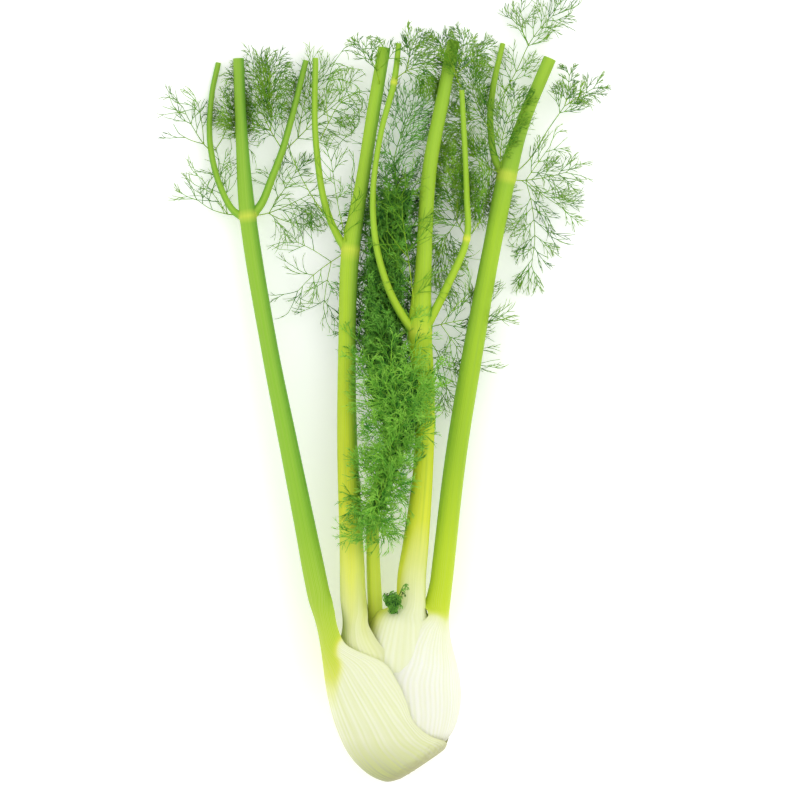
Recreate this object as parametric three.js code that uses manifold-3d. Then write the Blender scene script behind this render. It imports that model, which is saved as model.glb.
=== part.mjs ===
// A whole Florence fennel, as picked and trimmed, lying on its side on a table.
//
// Five leaves grow from a trimmed root plate. Each leaf is one piece: a swollen base that wraps the bulb,
// a ribbed stalk that leaves the bulb's top, and the stalk's own side branches, all cut square at the far end.
// The leaf blades are hair-fine sprays that grow from the joints of the stalks, and each spray is one piece.
//
// Millimetres. +Y runs along the stalks, +X to the right, +Z up from the table.
// The origin is the flat spot under the bulb, on the table.
import * as THREE from "three";
import { mergeVertices } from "three/addons/utils/BufferGeometryUtils.js";
import Module from "manifold-3d";

const wasm = await Module();
wasm.setup();
const { Manifold, Mesh } = wasm;

// ---- Driving dimensions ----
const BULB_MID = 28.6; // height of the bulb's middle over the table
const GAP = 0.3; // clearance left between neighbouring pieces
const SHEATH_EDGE = 0.9; // thickness of an outer leaf base at its thin margins
const SHEATH_BACK = 6; // and at its thick middle
const SHEATH_SHARE = 0.55; // most of the bulb's half width there that a base may fill
const RIB_HEIGHT = 0.5; // relief of the ribs on the outer leaf bases
const THREAD = 0.5; // radius of a leaf shoot
const SHOOT_LEAN = 0.85; // radians between a shoot and the rib it leaves
const NEEDLE_FAN = 0.6; // radians between a needle and its shoot
const SIDE_NEEDLES = { at: 0.32, long: 0.42 }; // place and length of the side needles, as shares of the shoot
const END_NEEDLES = { at: 0.62, long: 0.38 }; // and of those at the end of its shaft
const KNUCKLE = 1.3; // length of the knuckle that a pair of shoots grows from
const TRIES = 7; // ways a shoot is turned to find one that clears its neighbours
const TOUCH = 1e-4; // volume in common that still counts as clear
const TABLE_CLEAR = 0.8; // lowest height of any thread

// ---- Solids from rings of points ----

// A closed body through rows of points. Each row is a closed loop, listed the same way round; a row of one
// point is a tip. The ends are filled flat.
function loft(rows) {
  const points = [];
  const faces = [];
  const starts = rows.map((row) => {
    points.push(...row);
    return points.length - row.length;
  });
  for (let r = 0; r + 1 < rows.length; r++) {
    const n = rows[r].length;
    const [low, high] = [starts[r], starts[r + 1]];
    for (let i = 0; i < n; i++) {
      const j = (i + 1) % n;
      if (rows[r + 1].length === 1) {
        faces.push(low + i, low + j, high);
      } else {
        faces.push(low + i, low + j, high + j, low + i, high + j, high + i);
      }
    }
  }
  cap(rows[0], starts[0], faces, true);
  if (rows.at(-1).length > 1) cap(rows.at(-1), starts.at(-1), faces, false);
  const geometry = new THREE.BufferGeometry().setFromPoints(points);
  geometry.setIndex(faces);
  return geometry;
}

// Fills one flat end of a loft.
function cap(row, start, faces, flip) {
  const centre = row.reduce((sum, p) => sum.add(p), new THREE.Vector3()).divideScalar(row.length);
  const normal = new THREE.Vector3();
  row.forEach((p, i) => {
    const next = row[(i + 1) % row.length];
    normal.add(p.clone().sub(centre).cross(next.clone().sub(centre)));
  });
  normal.normalize();
  const across = row[0].clone().sub(centre).projectOnPlane(normal).normalize();
  const up = normal.clone().cross(across);
  const flat = row.map((p) => {
    const d = p.clone().sub(centre);
    return new THREE.Vector2(d.dot(across), d.dot(up));
  });
  for (const [a, b, c] of THREE.ShapeUtils.triangulateShape(flat, [])) {
    if (flip) faces.push(start + a, start + c, start + b);
    else faces.push(start + a, start + b, start + c);
  }
}

function solid(geometry) {
  const bare = geometry.clone();
  bare.deleteAttribute("normal");
  bare.deleteAttribute("uv");
  const merged = mergeVertices(bare, 1e-4);
  const made = new Manifold(
    new Mesh({
      numProp: 3,
      vertProperties: new Float32Array(merged.attributes.position.array),
      triVerts: new Uint32Array(merged.index.array),
    }),
  );
  if (made.volume() > 0) return made;
  const turned = merged.index.array.slice();
  for (let i = 0; i < turned.length; i += 3) [turned[i + 1], turned[i + 2]] = [turned[i + 2], turned[i + 1]];
  return new Manifold(
    new Mesh({
      numProp: 3,
      vertProperties: new Float32Array(merged.attributes.position.array),
      triVerts: new Uint32Array(turned),
    }),
  );
}

function largest(made) {
  return made.decompose().reduce((best, body) => (body.volume() > best.volume() ? body : best));
}

function geometryOf(made) {
  const mesh = made.getMesh();
  const flat = new Float32Array(mesh.numVert * 3);
  for (let i = 0; i < mesh.numVert; i++) {
    flat.set(mesh.vertProperties.subarray(i * mesh.numProp, i * mesh.numProp + 3), i * 3);
  }
  const geometry = new THREE.BufferGeometry();
  geometry.setAttribute("position", new THREE.BufferAttribute(flat, 3));
  geometry.setIndex(new THREE.BufferAttribute(mesh.triVerts, 1));
  geometry.computeVertexNormals();
  return geometry;
}

// A value between the listed ones, on a smooth curve through them.
function smooth(values, t) {
  const last = values.length - 1;
  const at = THREE.MathUtils.clamp(t, 0, 1) * last;
  const i = Math.min(Math.floor(at), last - 1);
  const f = at - i;
  const [p0, p1, p2, p3] = [i - 1, i, i + 1, i + 2].map((k) => values[THREE.MathUtils.clamp(k, 0, last)]);
  const a = 2 * p1;
  const b = p2 - p0;
  const c = 2 * p0 - 5 * p1 + 4 * p2 - p3;
  const d = -p0 + 3 * p1 - 3 * p2 + p3;
  return (a + b * f + c * f * f + d * f * f * f) / 2;
}

// ---- Stalks ----
// A stalk is a list of stations [x, y, z, radius], root first.

const curveOf = (stations) =>
  new THREE.CatmullRomCurve3(
    stations.map(([x, y, z]) => new THREE.Vector3(x, y, z)),
    false,
    "centripetal",
  );

// How much further out a polygon's corners lie than the circle of the same area.
const equalArea = (sides) => Math.sqrt((2 * Math.PI) / (sides * Math.sin((2 * Math.PI) / sides)));
const EQUAL_AREA_3 = equalArea(3);

// A tapering round body along the stations.
function limb(stations, sides, steps, grow = 0) {
  const curve = curveOf(stations);
  const radii = stations.map((station) => station[3] * equalArea(sides));
  const rows = [];
  for (let i = 0; i <= steps; i++) {
    const t = i / steps;
    const centre = curve.getPoint(t);
    const along = curve.getTangent(t);
    const side = new THREE.Vector3(-along.y, along.x, 0);
    if (side.lengthSq() < 1e-6) side.set(1, 0, 0);
    side.normalize();
    const up = along.clone().cross(side);
    const radius = smooth(radii, t) + grow;
    if (grow && i === steps) centre.addScaledVector(along, grow);
    rows.push(
      Array.from({ length: sides }, (_, k) => {
        const turn = Math.PI / 2 + (k / sides) * 2 * Math.PI;
        const p = centre.clone().addScaledVector(side, radius * Math.cos(turn));
        p.addScaledVector(up, radius * Math.sin(turn));
        p.z = Math.max(0, p.z);
        return p;
      }),
    );
  }
  return solid(loft(rows));
}

const STALKS = {
  outer_left: {
    main: [
      [-39, 38, 29, 3.6],
      [-44.4, 50, 28, 5.6],
      [-50, 72, 27, 6.6],
      [-58, 107, 25, 6.2],
      [-69, 162, 22, 5.6],
      [-80, 218, 18, 5],
      [-91, 298, 14, 4.4],
      [-95, 350, 13, 3.8],
      [-97, 397, 12, 3.4],
    ],
    branches: [
      [
        [-91, 297, 14, 2.4],
        [-100, 302, 13, 2],
        [-109, 319, 11, 1.9],
        [-115, 345, 7, 1.8],
        [-114, 375, 4, 1.7],
        [-110, 395, 1.5, 1.7],
      ],
      [
        [-91, 297, 14, 2.6],
        [-83, 306, 13, 2.4],
        [-76, 323, 12, 2.3],
        [-69, 342, 11, 2.1],
        [-55, 396, 8, 1.8],
      ],
    ],
    joint: 6,
  },
  outer_right: {
    main: [
      [28, 40, 28, 4],
      [27.6, 54, 27, 6.2],
      [29, 72, 27, 7],
      [38, 147, 25, 6.6],
      [48, 209, 23, 6.4],
      [61, 280, 20, 5.6],
      [70, 323, 18, 5],
      [80, 356, 16, 4.3],
      [97, 397, 13, 4],
    ],
    branches: [
      [
        [70, 322, 18, 2.6],
        [63, 334, 16, 2.2],
        [60, 358, 12, 2],
        [62, 380, 7, 1.9],
        [68, 407, 1.4, 1.6],
      ],
    ],
    joint: 6,
  },
  heart: {
    main: [
      [-9, 20, 23, 3],
      [-11, 40, 23, 4.4],
      [-12, 60, 23, 4.4],
      [-13, 84, 24, 4.1],
      [-13, 110, 28, 3.6],
      [-9, 138, 34, 2.8],
    ],
    branches: [],
    joint: -1,
  },
  inner_left: {
    main: [
      [-24, 30, 30, 8],
      [-25, 48, 31, 8.6],
      [-26, 85, 31, 7.6],
      [-29, 159, 29, 6.3],
      [-29, 228, 27, 5.4],
      [-27, 276, 25, 4.7],
      [-20, 318, 24, 4.2],
      [-11, 374, 23, 4.1],
      [-6, 403, 22, 3.9],
    ],
    branches: [
      [
        [-27, 274, 25, 2.8],
        [-35, 286, 24, 2.3],
        [-43, 306, 22, 2.1],
        [-49, 350, 18, 1.9],
        [-49, 397, 14, 1.8],
      ],
    ],
    joint: 5,
  },
  inner_right: {
    main: [
      [13, 34, 31, 8.4],
      [12, 52, 32, 8.6],
      [12, 73, 33, 8],
      [18, 141, 33, 6.2],
      [19, 184, 32, 6.2],
      [16, 227, 31, 6.4],
      [18, 262, 30, 5.2],
      [22, 327, 28, 4.5],
      [31, 375, 26, 4.1],
      [37, 407, 24, 3.8],
    ],
    branches: [
      [
        [15, 225, 32, 3],
        [8, 232, 34, 2.6],
        [-3, 252, 37, 2.3],
        [-11, 280, 37, 2],
        [-13, 312, 35, 1.8],
        [-8, 350, 32, 1.7],
        [0, 381, 30, 1.9],
        [3, 405, 29, 1.6],
      ],
      [
        [17, 225, 31, 3],
        [23, 235, 31, 2.7],
        [34, 257, 31, 2.5],
        [45, 284, 30, 2.1],
        [45, 312, 30, 1.8],
        [42, 376, 29, 1.6],
      ],
    ],
    joint: 5,
  },
};
const STALK_SIDES = 8;
const STALK_STEPS = 12;
const BRANCH_SIDES = 5;
const BRANCH_STEPS = 7;
const JOINT_SWELL = 1; // how far the pale swollen joint stands out of the stalk

// A stalk, swollen at its joint, with the side branches that leave it there.
function stalk({ main, branches, joint }, grow = 0) {
  const stations = main.map(([x, y, z, r], i) => [x, y, z, i === joint ? r + JOINT_SWELL : r]);
  const parts = [limb(stations, STALK_SIDES, STALK_STEPS, grow)];
  for (const branch of branches) {
    parts.push(limb(branch, BRANCH_SIDES, BRANCH_STEPS, grow));
  }
  return Manifold.union(parts);
}

// ---- Leaf bases ----
// A base is a list of rings from the root end up: [left x, left y, right x, right y, half thickness, middle z].

const FULLNESS = 2.25; // exponent of a ring's outline: 2 is an ellipse, and more is fuller

function ringAt(rings, t) {
  const [lx, ly, rx, ry, half, mid] = [0, 1, 2, 3, 4, 5].map((k) => smooth(rings.map((ring) => ring[k]), t));
  return { lx, ly, rx, ry, half, mid };
}

// A point on a ring's outline. Turn 0 is the left edge, 90 degrees the front, and 180 the right edge.
function onRing({ lx, ly, rx, ry, half, mid }, turn, out) {
  const c = Math.cos(turn);
  const s = Math.sin(turn);
  const u = -Math.sign(c) * Math.abs(c) ** (2 / FULLNESS);
  const w = Math.sign(s) * Math.abs(s) ** (2 / FULLNESS);
  const width = Math.hypot(rx - lx, ry - ly) / 2;
  const across = (1 + out / width) * u;
  return new THREE.Vector3(
    (lx + rx) / 2 + ((rx - lx) / 2) * across,
    (ly + ry) / 2 + ((ry - ly) / 2) * across,
    Math.max(0, mid + (half + out) * w),
  );
}

// A base that fills its rings all round.
function lobe({ rings, columns, rows }, grow = 0) {
  const skin = [];
  for (let i = 0; i <= rows; i++) {
    const ring = ringAt(rings, i / rows);
    skin.push(Array.from({ length: columns }, (_, k) => onRing(ring, (k / columns) * 2 * Math.PI, grow)));
  }
  return solid(loft(skin));
}

// A base that wraps the bulb as a shell, thick in the middle and thin at its two margins, with ribs outside.
// `middle` is the turn of its thick middle. `front` and `under` say, row by row, how many degrees its margins
// lie from there over the front of the bulb and under it.
function wrap({ rings, middle, front, under, ribs, rows }, grow = 0) {
  const inside = 9;
  const outside = 2 * ribs + 1; // a crest on each rib and a valley on each side of it
  const toFront = Math.cos(middle);
  const skin = [];
  for (let i = 0; i <= rows; i++) {
    const t = i / rows;
    const ring = ringAt(rings, t);
    const width = Math.hypot(ring.rx - ring.lx, ring.ry - ring.ly) / 2;
    const relief = RIB_HEIGHT * Math.sin(Math.PI * Math.min(1, 1.6 * t));
    const turnAt = (share) => {
      const reach = THREE.MathUtils.degToRad(smooth(share > 0 ? front : under, t)) + grow / width;
      return middle + toFront * share * reach;
    };
    const row = [];
    for (let k = 0; k < outside; k++) {
      const rib = k % 2 ? relief : 0;
      row.push(onRing(ring, turnAt((k / (outside - 1)) * 2 - 1), grow + rib));
    }
    for (let k = 0; k < inside; k++) {
      const share = 1 - (k / (inside - 1)) * 2;
      const thick = THREE.MathUtils.lerp(SHEATH_BACK, SHEATH_EDGE, Math.abs(share) ** 1.5);
      row.push(onRing(ring, turnAt(share), -Math.min(thick, SHEATH_SHARE * width) - grow));
    }
    skin.push(row);
  }
  return solid(loft(skin));
}

const BASES = {
  outer_left: {
    middle: 0,
    ribs: 10,
    rows: 11,
    front: [158, 143, 118, 102, 98, 95, 90, 64, 64, 84, 130, 165],
    under: [158, 154, 148, 140, 129, 114, 96, 80, 70, 84, 130, 165],
    rings: [
      [-5, -51, 32, -30, 15, BULB_MID],
      [-20, -43, 36, -25, 21, BULB_MID],
      [-30, -33, 39, -19, 25.5, BULB_MID],
      [-36, -19, 41, -10, 28.2, BULB_MID],
      [-40, -5, 41.5, 1, 29.6, BULB_MID],
      [-42.5, 8, 38, 13, 29.8, BULB_MID],
      [-44, 20, 28, 28, 28, BULB_MID],
      [-45.5, 31, 12, 42, 23.5, BULB_MID],
      [-47.5, 42, -8, 53, 17.5, 28.4],
      [-49.5, 51, -24, 58, 11.5, 28],
      [-52.6, 61, -39, 65, 7.2, 27.6],
      [-56, 73, -44, 76, 5.6, 27],
    ],
  },
  outer_right: {
    middle: Math.PI,
    ribs: 10,
    rows: 11,
    front: [100, 100, 100, 96, 94, 86, 88, 89, 86, 87, 121, 165],
    under: [80, 80, 80, 80, 84, 86, 84, 86, 88, 90, 121, 165],
    rings: [
      [-3, -49, 30, -29.5, 13.6, BULB_MID],
      [-18, -41, 34.5, -24, 19.6, BULB_MID],
      [-28, -31, 38, -18, 24.1, BULB_MID],
      [-34, -17, 40.5, -9, 26.8, BULB_MID],
      [-38, -3, 41.5, 0, 28.2, BULB_MID],
      [-38, 14, 41, 9, 28.3, BULB_MID],
      [-34, 30, 39.4, 18.5, 27.6, BULB_MID],
      [-26, 44, 37, 28, 24.6, BULB_MID],
      [-12, 54, 34.8, 37.5, 20, 28.4],
      [4, 60, 34, 47, 14, 28],
      [17, 65, 34.2, 57, 8.6, 27.4],
      [23.3, 75, 35.1, 73, 5.8, 27],
    ],
  },
  inner_left: {
    middle: 0,
    ribs: 6,
    rows: 10,
    front: [75, 75, 75, 80, 86, 93, 95, 106, 145, 165, 165],
    under: [60, 60, 60, 70, 88, 99, 105, 115, 150, 165, 165],
    rings: [
      [-8, -34, 20, -26, 8, BULB_MID],
      [-19, -26, 28, -16, 17, BULB_MID],
      [-27, -14, 33, -8, 22.5, BULB_MID],
      [-32, -1, 35, 3, 25, BULB_MID],
      [-34, 12, 33, 16, 26.2, BULB_MID],
      [-34.5, 24, 23, 30, 25.6, BULB_MID],
      [-33.5, 34, 6, 42, 22.6, 28.8],
      [-32, 43, -7, 50, 17, 29.4],
      [-31.8, 52, -14, 56, 12, 30],
      [-32.3, 62, -16.8, 64, 8.8, 30.6],
      [-31.6, 76, -19, 76, 6.2, 31],
    ],
  },
  inner_right: {
    columns: 18,
    rows: 11,
    rings: [
      [6, -32, 16, -28, 6, BULB_MID],
      [-8, -24, 22, -16, 14, BULB_MID],
      [-17, -10, 29, -6, 19.5, BULB_MID],
      [-22, 3, 32, 3, 23.5, BULB_MID],
      [-24, 16, 32, 14, 26.4, BULB_MID],
      [-22, 29, 30, 23, 26, BULB_MID],
      [-17, 40, 26, 34, 23.4, 28.8],
      [-12, 49, 23, 43.5, 19.4, 29.4],
      [-6.5, 54, 20.6, 49.5, 15.5, 30],
      [0.5, 59, 18.7, 56, 11.8, 31],
      [3, 66, 18.2, 66, 8.8, 32],
      [4.4, 78, 18.4, 78, 6.6, 33],
    ],
  },
};

// The trimmed root plate: a blunt disc that closes the bulb's foot, its cut face looking down and right.
const ROOT_PLATE = {
  columns: 14,
  rows: 3,
  rings: [
    [-2.6, -50, 29.6, -31, 13, BULB_MID],
    [-4, -46, 28, -27.5, 13.2, BULB_MID],
    [-1, -40, 22, -26.5, 9.5, BULB_MID],
    [4, -33, 14, -27.5, 4, BULB_MID],
  ],
};

// ---- Sprays of leaf threads ----

// A repeatable chance from 0 to 1 for draw `n` of a spray.
function chance(seed, n) {
  const s = Math.sin(seed * 127.1 + n * 311.7) * 43758.5453;
  return s - Math.floor(s);
}

// A shoot's skin: a slim three-sided shaft with three needles half way and three at its end, each drawn out
// of one face of the shaft. It grows from `base`, a triangle on what carries it, whose corners are its first
// three points; the base itself is left open.
function shootSkin({ base, way, long, radius, seed }, grow = 0) {
  const points = base.map((p) => p.clone());
  const faces = [];
  const middleOf = (corners) => corners.reduce((sum, p) => sum.add(p), new THREE.Vector3()).divideScalar(3);
  const start = middleOf(base);
  const corners = base.map((p) => p.clone().sub(start).projectOnPlane(way).normalize());
  const addPoint = (p) => {
    p.z = Math.max(p.z, TABLE_CLEAR - grow);
    return points.push(p) - 1;
  };
  const ring = (at, r) =>
    corners.map((out) => addPoint(start.clone().addScaledVector(way, at).addScaledVector(out, r + grow)));
  const needle = (from, k, share, draw) => {
    const out = corners[k].clone().add(corners[(k + 1) % 3]).normalize();
    const fan = NEEDLE_FAN * (0.8 + 0.4 * chance(seed, draw));
    const run = long * share * (0.8 + 0.4 * chance(seed, draw + 30)) + 4 * grow;
    const tip = middleOf(from.map((i) => points[i]));
    const at = addPoint(tip.addScaledVector(way, run * Math.cos(fan)).addScaledVector(out, run * Math.sin(fan)));
    from.forEach((i, n) => faces.push([i, from[(n + 1) % 3], at]));
  };
  const rings = [
    [0, 1, 2],
    ring(long * SIDE_NEEDLES.at, radius),
    ring(long * SIDE_NEEDLES.at + 2 * radius, radius),
    ring(long * END_NEEDLES.at, radius),
  ];
  for (let r = 0; r < 3; r++) {
    const [low, high] = [rings[r], rings[r + 1]];
    for (let k = 0; k < 3; k++) {
      const j = (k + 1) % 3;
      faces.push([low[k], high[j], high[k]]);
      if (r === 1) needle([low[k], low[j], high[j]], k, SIDE_NEEDLES.long, k);
      else faces.push([low[k], low[j], high[j]]);
    }
  }
  const end = rings[3];
  const peak = addPoint(start.clone().addScaledVector(way, long * END_NEEDLES.at + radius + grow));
  for (let k = 0; k < 3; k++) needle([end[k], end[(k + 1) % 3], peak], k, END_NEEDLES.long, k + 10);
  return { points, faces };
}

const solidOf = ({ points, faces }) => {
  const geometry = new THREE.BufferGeometry().setFromPoints(points);
  geometry.setIndex(faces.flat());
  return solid(geometry);
};

// A rib is { path, pairs, reach, lift, from }: `path` is its stations, `pairs` the number of shoot pairs,
// `reach` its longest shoot, `lift` how far shoots tip out of the rib's flat plane, and `from` where along the
// rib they begin. At each pair the rib has a short knuckle, and a last shoot grows from its end.
// `settle(shoot, draw)` gives the shoot as it is to stand, or null to leave it out.
function ribSkin({ path, pairs, reach, lift = 0.7, from = 0.15 }, seed, settle, grow = 0) {
  const curve = curveOf(path);
  const length = curve.getLength();
  const radii = path.map((station) => station[3] * EQUAL_AREA_3);
  const points = [];
  const faces = [];
  const rowAt = (t) => {
    const centre = curve.getPoint(t);
    const along = curve.getTangent(t);
    const side = new THREE.Vector3(-along.y, along.x, 0).normalize();
    const up = along.clone().cross(side);
    return [0, 1, 2].map((k) => {
      const turn = Math.PI / 2 + (k * 2 * Math.PI) / 3;
      const r = smooth(radii, t) + grow;
      const p = centre.clone().addScaledVector(side, r * Math.cos(turn)).addScaledVector(up, r * Math.sin(turn));
      return points.push(p) - 1;
    });
  };
  const growShoot = (corners, t, hand, lean, draw) => {
    const along = curve.getTangent(t);
    const standing = settle({
      base: corners.map((i) => points[i]),
      along,
      flat: new THREE.Vector3(-along.y, along.x, 0).normalize().multiplyScalar(hand),
      lean,
      lift,
      long: reach * (0.6 + 0.4 * Math.sin(Math.PI * (0.25 + 0.6 * t))) * (0.8 + 0.3 * chance(seed, draw + 80)),
      radius: THREAD,
      seed: seed * 31 + draw,
    });
    if (!standing) return false;
    const shoot = shootSkin(standing, grow);
    const shift = points.length - 3;
    points.push(...shoot.points.slice(3));
    for (const face of shoot.faces) faces.push(face.map((i) => (i < 3 ? corners[i] : i + shift)));
    return true;
  };
  const knuckle = KNUCKLE / length;
  let low = rowAt(0);
  faces.push([low[0], low[2], low[1]]);
  for (let n = 0; n < pairs; n++) {
    const t = from + ((0.93 - from) * (n + 0.5)) / pairs;
    for (const [at, shoots] of [[t - knuckle / 2, false], [t + knuckle / 2, true]]) {
      const high = rowAt(at);
      for (let k = 0; k < 3; k++) {
        const j = (k + 1) % 3;
        const corners = [low[k], low[j], high[j]];
        const lean = SHOOT_LEAN * (0.75 + 0.5 * chance(seed, 2 * n + k + 40));
        const hand = k === 0 ? -1 : 1;
        if (!(shoots && k !== 1 && growShoot(corners, t, hand, lean, 2 * n + (k ? 1 : 0)))) faces.push(corners);
        faces.push([low[k], high[j], high[k]]);
      }
      low = high;
    }
  }
  const end = rowAt(1);
  for (let k = 0; k < 3; k++) {
    const j = (k + 1) % 3;
    faces.push([low[k], low[j], end[j]], [low[k], end[j], end[k]]);
  }
  if (!growShoot(end, 1, 1, 0.05, 2 * pairs)) faces.push(end);
  return { points, faces };
}

// A shoot on the given try: each try rolls it out of the rib's flat plane another way.
function shootAt({ base, along, flat, lean, lift, long, radius, seed }, attempt) {
  const roll = (chance(seed, attempt + 7) - 0.5) * 2 * (lift + 0.25 * attempt);
  const side = flat.clone().multiplyScalar(Math.cos(roll)).add(new THREE.Vector3(0, 0, Math.sin(roll)));
  const way = along.clone().multiplyScalar(Math.cos(lean)).addScaledVector(side, Math.sin(lean)).normalize();
  return { base, way, long: long * (1 - 0.08 * attempt), radius, seed };
}

// The ribs of each spray, root first. The first rib leaves a stalk, and the others fork from its second station.
const SPRAYS = {
  outer_left_spray_west: [
    {
      path: [[-95, 299, 14, 0.9], [-104, 300, 12, 0.8], [-120, 303, 9, 0.6], [-132, 306, 8, 0.5]],
      pairs: 2,
      reach: 21,
    },
    { path: [[-104, 300, 12, 0.7], [-114, 312, 16, 0.6], [-126, 326, 18, 0.5]], pairs: 1, reach: 20 },
    { path: [[-104, 300, 12, 0.7], [-107, 316, 19, 0.6], [-110, 330, 20, 0.5]], pairs: 1, reach: 17 },
  ],
  outer_left_spray_east: [
    {
      path: [[-87, 299, 13, 0.9], [-78, 301, 10, 0.8], [-66, 306, 8, 0.6], [-54, 312, 7, 0.5]],
      pairs: 2,
      reach: 20,
    },
    { path: [[-79, 301, 10, 0.7], [-68, 296, 6, 0.6], [-56, 294, 5, 0.5]], pairs: 1, reach: 15 },
    { path: [[-78, 301, 10, 0.7], [-70, 314, 5, 0.6], [-62, 326, 4, 0.5]], pairs: 1, reach: 15 },
  ],
  outer_left_branch_spray_west: [
    {
      path: [[-113, 338, 9, 0.9], [-120, 346, 10, 0.8], [-130, 358, 9, 0.6], [-138, 369, 8, 0.5]],
      pairs: 2,
      reach: 18,
    },
    { path: [[-120, 346, 10, 0.7], [-131, 347, 14, 0.6], [-139, 351, 15, 0.5]], pairs: 1, reach: 14 },
    { path: [[-120, 346, 10, 0.7], [-121, 360, 15, 0.6], [-124, 373, 17, 0.5]], pairs: 1, reach: 15 },
  ],
  outer_left_branch_spray_east: [
    { path: [[-112, 340, 8, 0.9], [-106, 350, 9, 0.7], [-102, 362, 12, 0.5]], pairs: 1, reach: 15 },
  ],
  outer_left_crown_west: [
    {
      path: [[-71, 342, 13, 0.9], [-77, 352, 17, 0.8], [-84, 368, 21, 0.6], [-88, 388, 20, 0.5]],
      pairs: 2,
      reach: 19,
    },
    { path: [[-77, 352, 17, 0.7], [-76, 370, 20, 0.6], [-77, 390, 19, 0.5]], pairs: 2, reach: 17 },
    { path: [[-77, 352, 17, 0.7], [-88, 356, 20, 0.6], [-98, 362, 21, 0.5]], pairs: 1, reach: 16 },
  ],
  outer_left_crown_east: [
    {
      path: [
        [-67, 341, 10, 0.9],
        [-60, 348, 7, 0.8],
        [-50, 358, 6, 0.7],
        [-40, 366, 7, 0.6],
        [-31, 374, 8, 0.5],
      ],
      pairs: 3,
      reach: 18,
    },
    { path: [[-60, 348, 7, 0.7], [-57, 366, 5, 0.6], [-51, 384, 5, 0.5]], pairs: 1, reach: 16 },
  ],
  inner_left_spray_west: [
    {
      path: [[-31, 275, 24, 0.9], [-39, 270, 20, 0.8], [-50, 262, 16, 0.6], [-60, 252, 13, 0.5]],
      pairs: 2,
      reach: 20,
    },
    { path: [[-39, 270, 20, 0.7], [-50, 277, 24, 0.6], [-60, 282, 25, 0.5]], pairs: 1, reach: 17 },
    { path: [[-39, 270, 20, 0.7], [-42, 256, 15, 0.6], [-44, 242, 12, 0.5]], pairs: 1, reach: 15 },
  ],
  inner_left_spray_middle: [
    {
      path: [[-29, 279, 28, 0.9], [-31, 288, 31, 0.8], [-35, 306, 31, 0.6], [-39, 332, 29, 0.5]],
      pairs: 2,
      reach: 17,
    },
    { path: [[-31, 288, 31, 0.7], [-27, 304, 34, 0.6], [-26, 326, 34, 0.5]], pairs: 1, reach: 12 },
  ],
  inner_left_branch_spray_west: [
    {
      path: [
        [-44, 300, 23, 0.8],
        [-50, 309, 23, 0.8],
        [-58, 323, 21, 0.7],
        [-65, 340, 19, 0.6],
        [-70, 356, 20, 0.5],
      ],
      pairs: 3,
      reach: 16,
    },
  ],
  inner_left_branch_spray_east: [
    {
      path: [
        [-46, 346, 19, 0.9],
        [-41, 356, 21, 0.8],
        [-34, 368, 22, 0.7],
        [-27, 372, 20, 0.6],
        [-22, 364, 18, 0.5],
      ],
      pairs: 2,
      reach: 13,
    },
    { path: [[-41, 356, 21, 0.7], [-42, 372, 26, 0.6], [-37, 388, 27, 0.5]], pairs: 1, reach: 15 },
  ],
  inner_left_tip_tuft: [
    {
      path: [[-12, 378, 27, 0.9], [-15, 387, 29, 0.8], [-20, 398, 30, 0.6], [-26, 408, 29, 0.5]],
      pairs: 2,
      reach: 15,
    },
    { path: [[-15, 387, 29, 0.7], [-14, 400, 32, 0.6], [-12, 411, 31, 0.5]], pairs: 1, reach: 14 },
    { path: [[-15, 387, 29, 0.7], [-24, 389, 30, 0.6], [-31, 391, 28, 0.5]], pairs: 1, reach: 13 },
  ],
  inner_right_branch_spray_left: [
    {
      path: [[1, 383, 32, 0.9], [8, 388, 34, 0.8], [17, 390, 35, 0.6], [27, 390, 34, 0.5]],
      pairs: 2,
      reach: 17,
    },
    { path: [[8, 388, 34, 0.7], [10, 399, 35, 0.6], [13, 408, 33, 0.5]], pairs: 1, reach: 14 },
    { path: [[8, 388, 34, 0.7], [14, 379, 33, 0.6], [19, 368, 31, 0.5]], pairs: 1, reach: 15 },
  ],
  inner_right_spray_front: [
    {
      path: [
        [13, 236, 38, 0.9],
        [11, 254, 41, 0.8],
        [8.7, 272, 42, 0.7],
        [5.2, 297, 42, 0.6],
        [5, 311, 41, 0.5],
      ],
      pairs: 2,
      reach: 20,
      from: 0.3,
    },
    { path: [[8.7, 272, 42, 0.7], [2, 280, 42, 0.6], [-4, 288, 41, 0.5]], pairs: 1, reach: 15 },
  ],
  inner_right_spray_east: [
    {
      path: [[21, 229, 33, 0.9], [29, 231, 33, 0.8], [44, 234, 35, 0.6], [58, 237, 36, 0.5]],
      pairs: 2,
      reach: 19,
    },
    { path: [[29, 231, 33, 0.7], [36, 221, 34, 0.6], [46, 208, 34, 0.5]], pairs: 1, reach: 18 },
    { path: [[29, 231, 33, 0.7], [38, 242, 35, 0.6], [50, 254, 36, 0.5]], pairs: 1, reach: 16 },
  ],
  inner_right_spray_low: [
    {
      path: [[20, 223, 26, 0.9], [25, 217, 22, 0.8], [30, 206, 17, 0.6], [33, 192, 13, 0.5]],
      pairs: 2,
      reach: 16,
    },
  ],
  inner_right_crown: [
    {
      path: [[44, 286, 29, 0.9], [39, 295, 24, 0.8], [34, 310, 18, 0.6], [31, 330, 15, 0.5]],
      pairs: 2,
      reach: 18,
    },
    { path: [[39, 295, 24, 0.7], [32, 284, 17, 0.6], [29, 268, 12, 0.5]], pairs: 1, reach: 16 },
    { path: [[39, 295, 24, 0.7], [39, 312, 27, 0.6], [36, 334, 28, 0.5]], pairs: 1, reach: 14 },
  ],
  inner_right_crown_east: [
    {
      path: [[48, 287, 31, 0.9], [53, 295, 33, 0.8], [58, 308, 34, 0.6], [61, 320, 33, 0.5]],
      pairs: 2,
      reach: 16,
    },
  ],
  inner_right_branch_tip: [
    {
      path: [[41, 378, 30, 0.9], [38, 386, 33, 0.8], [34, 396, 34, 0.6], [29, 406, 33, 0.5]],
      pairs: 2,
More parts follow.
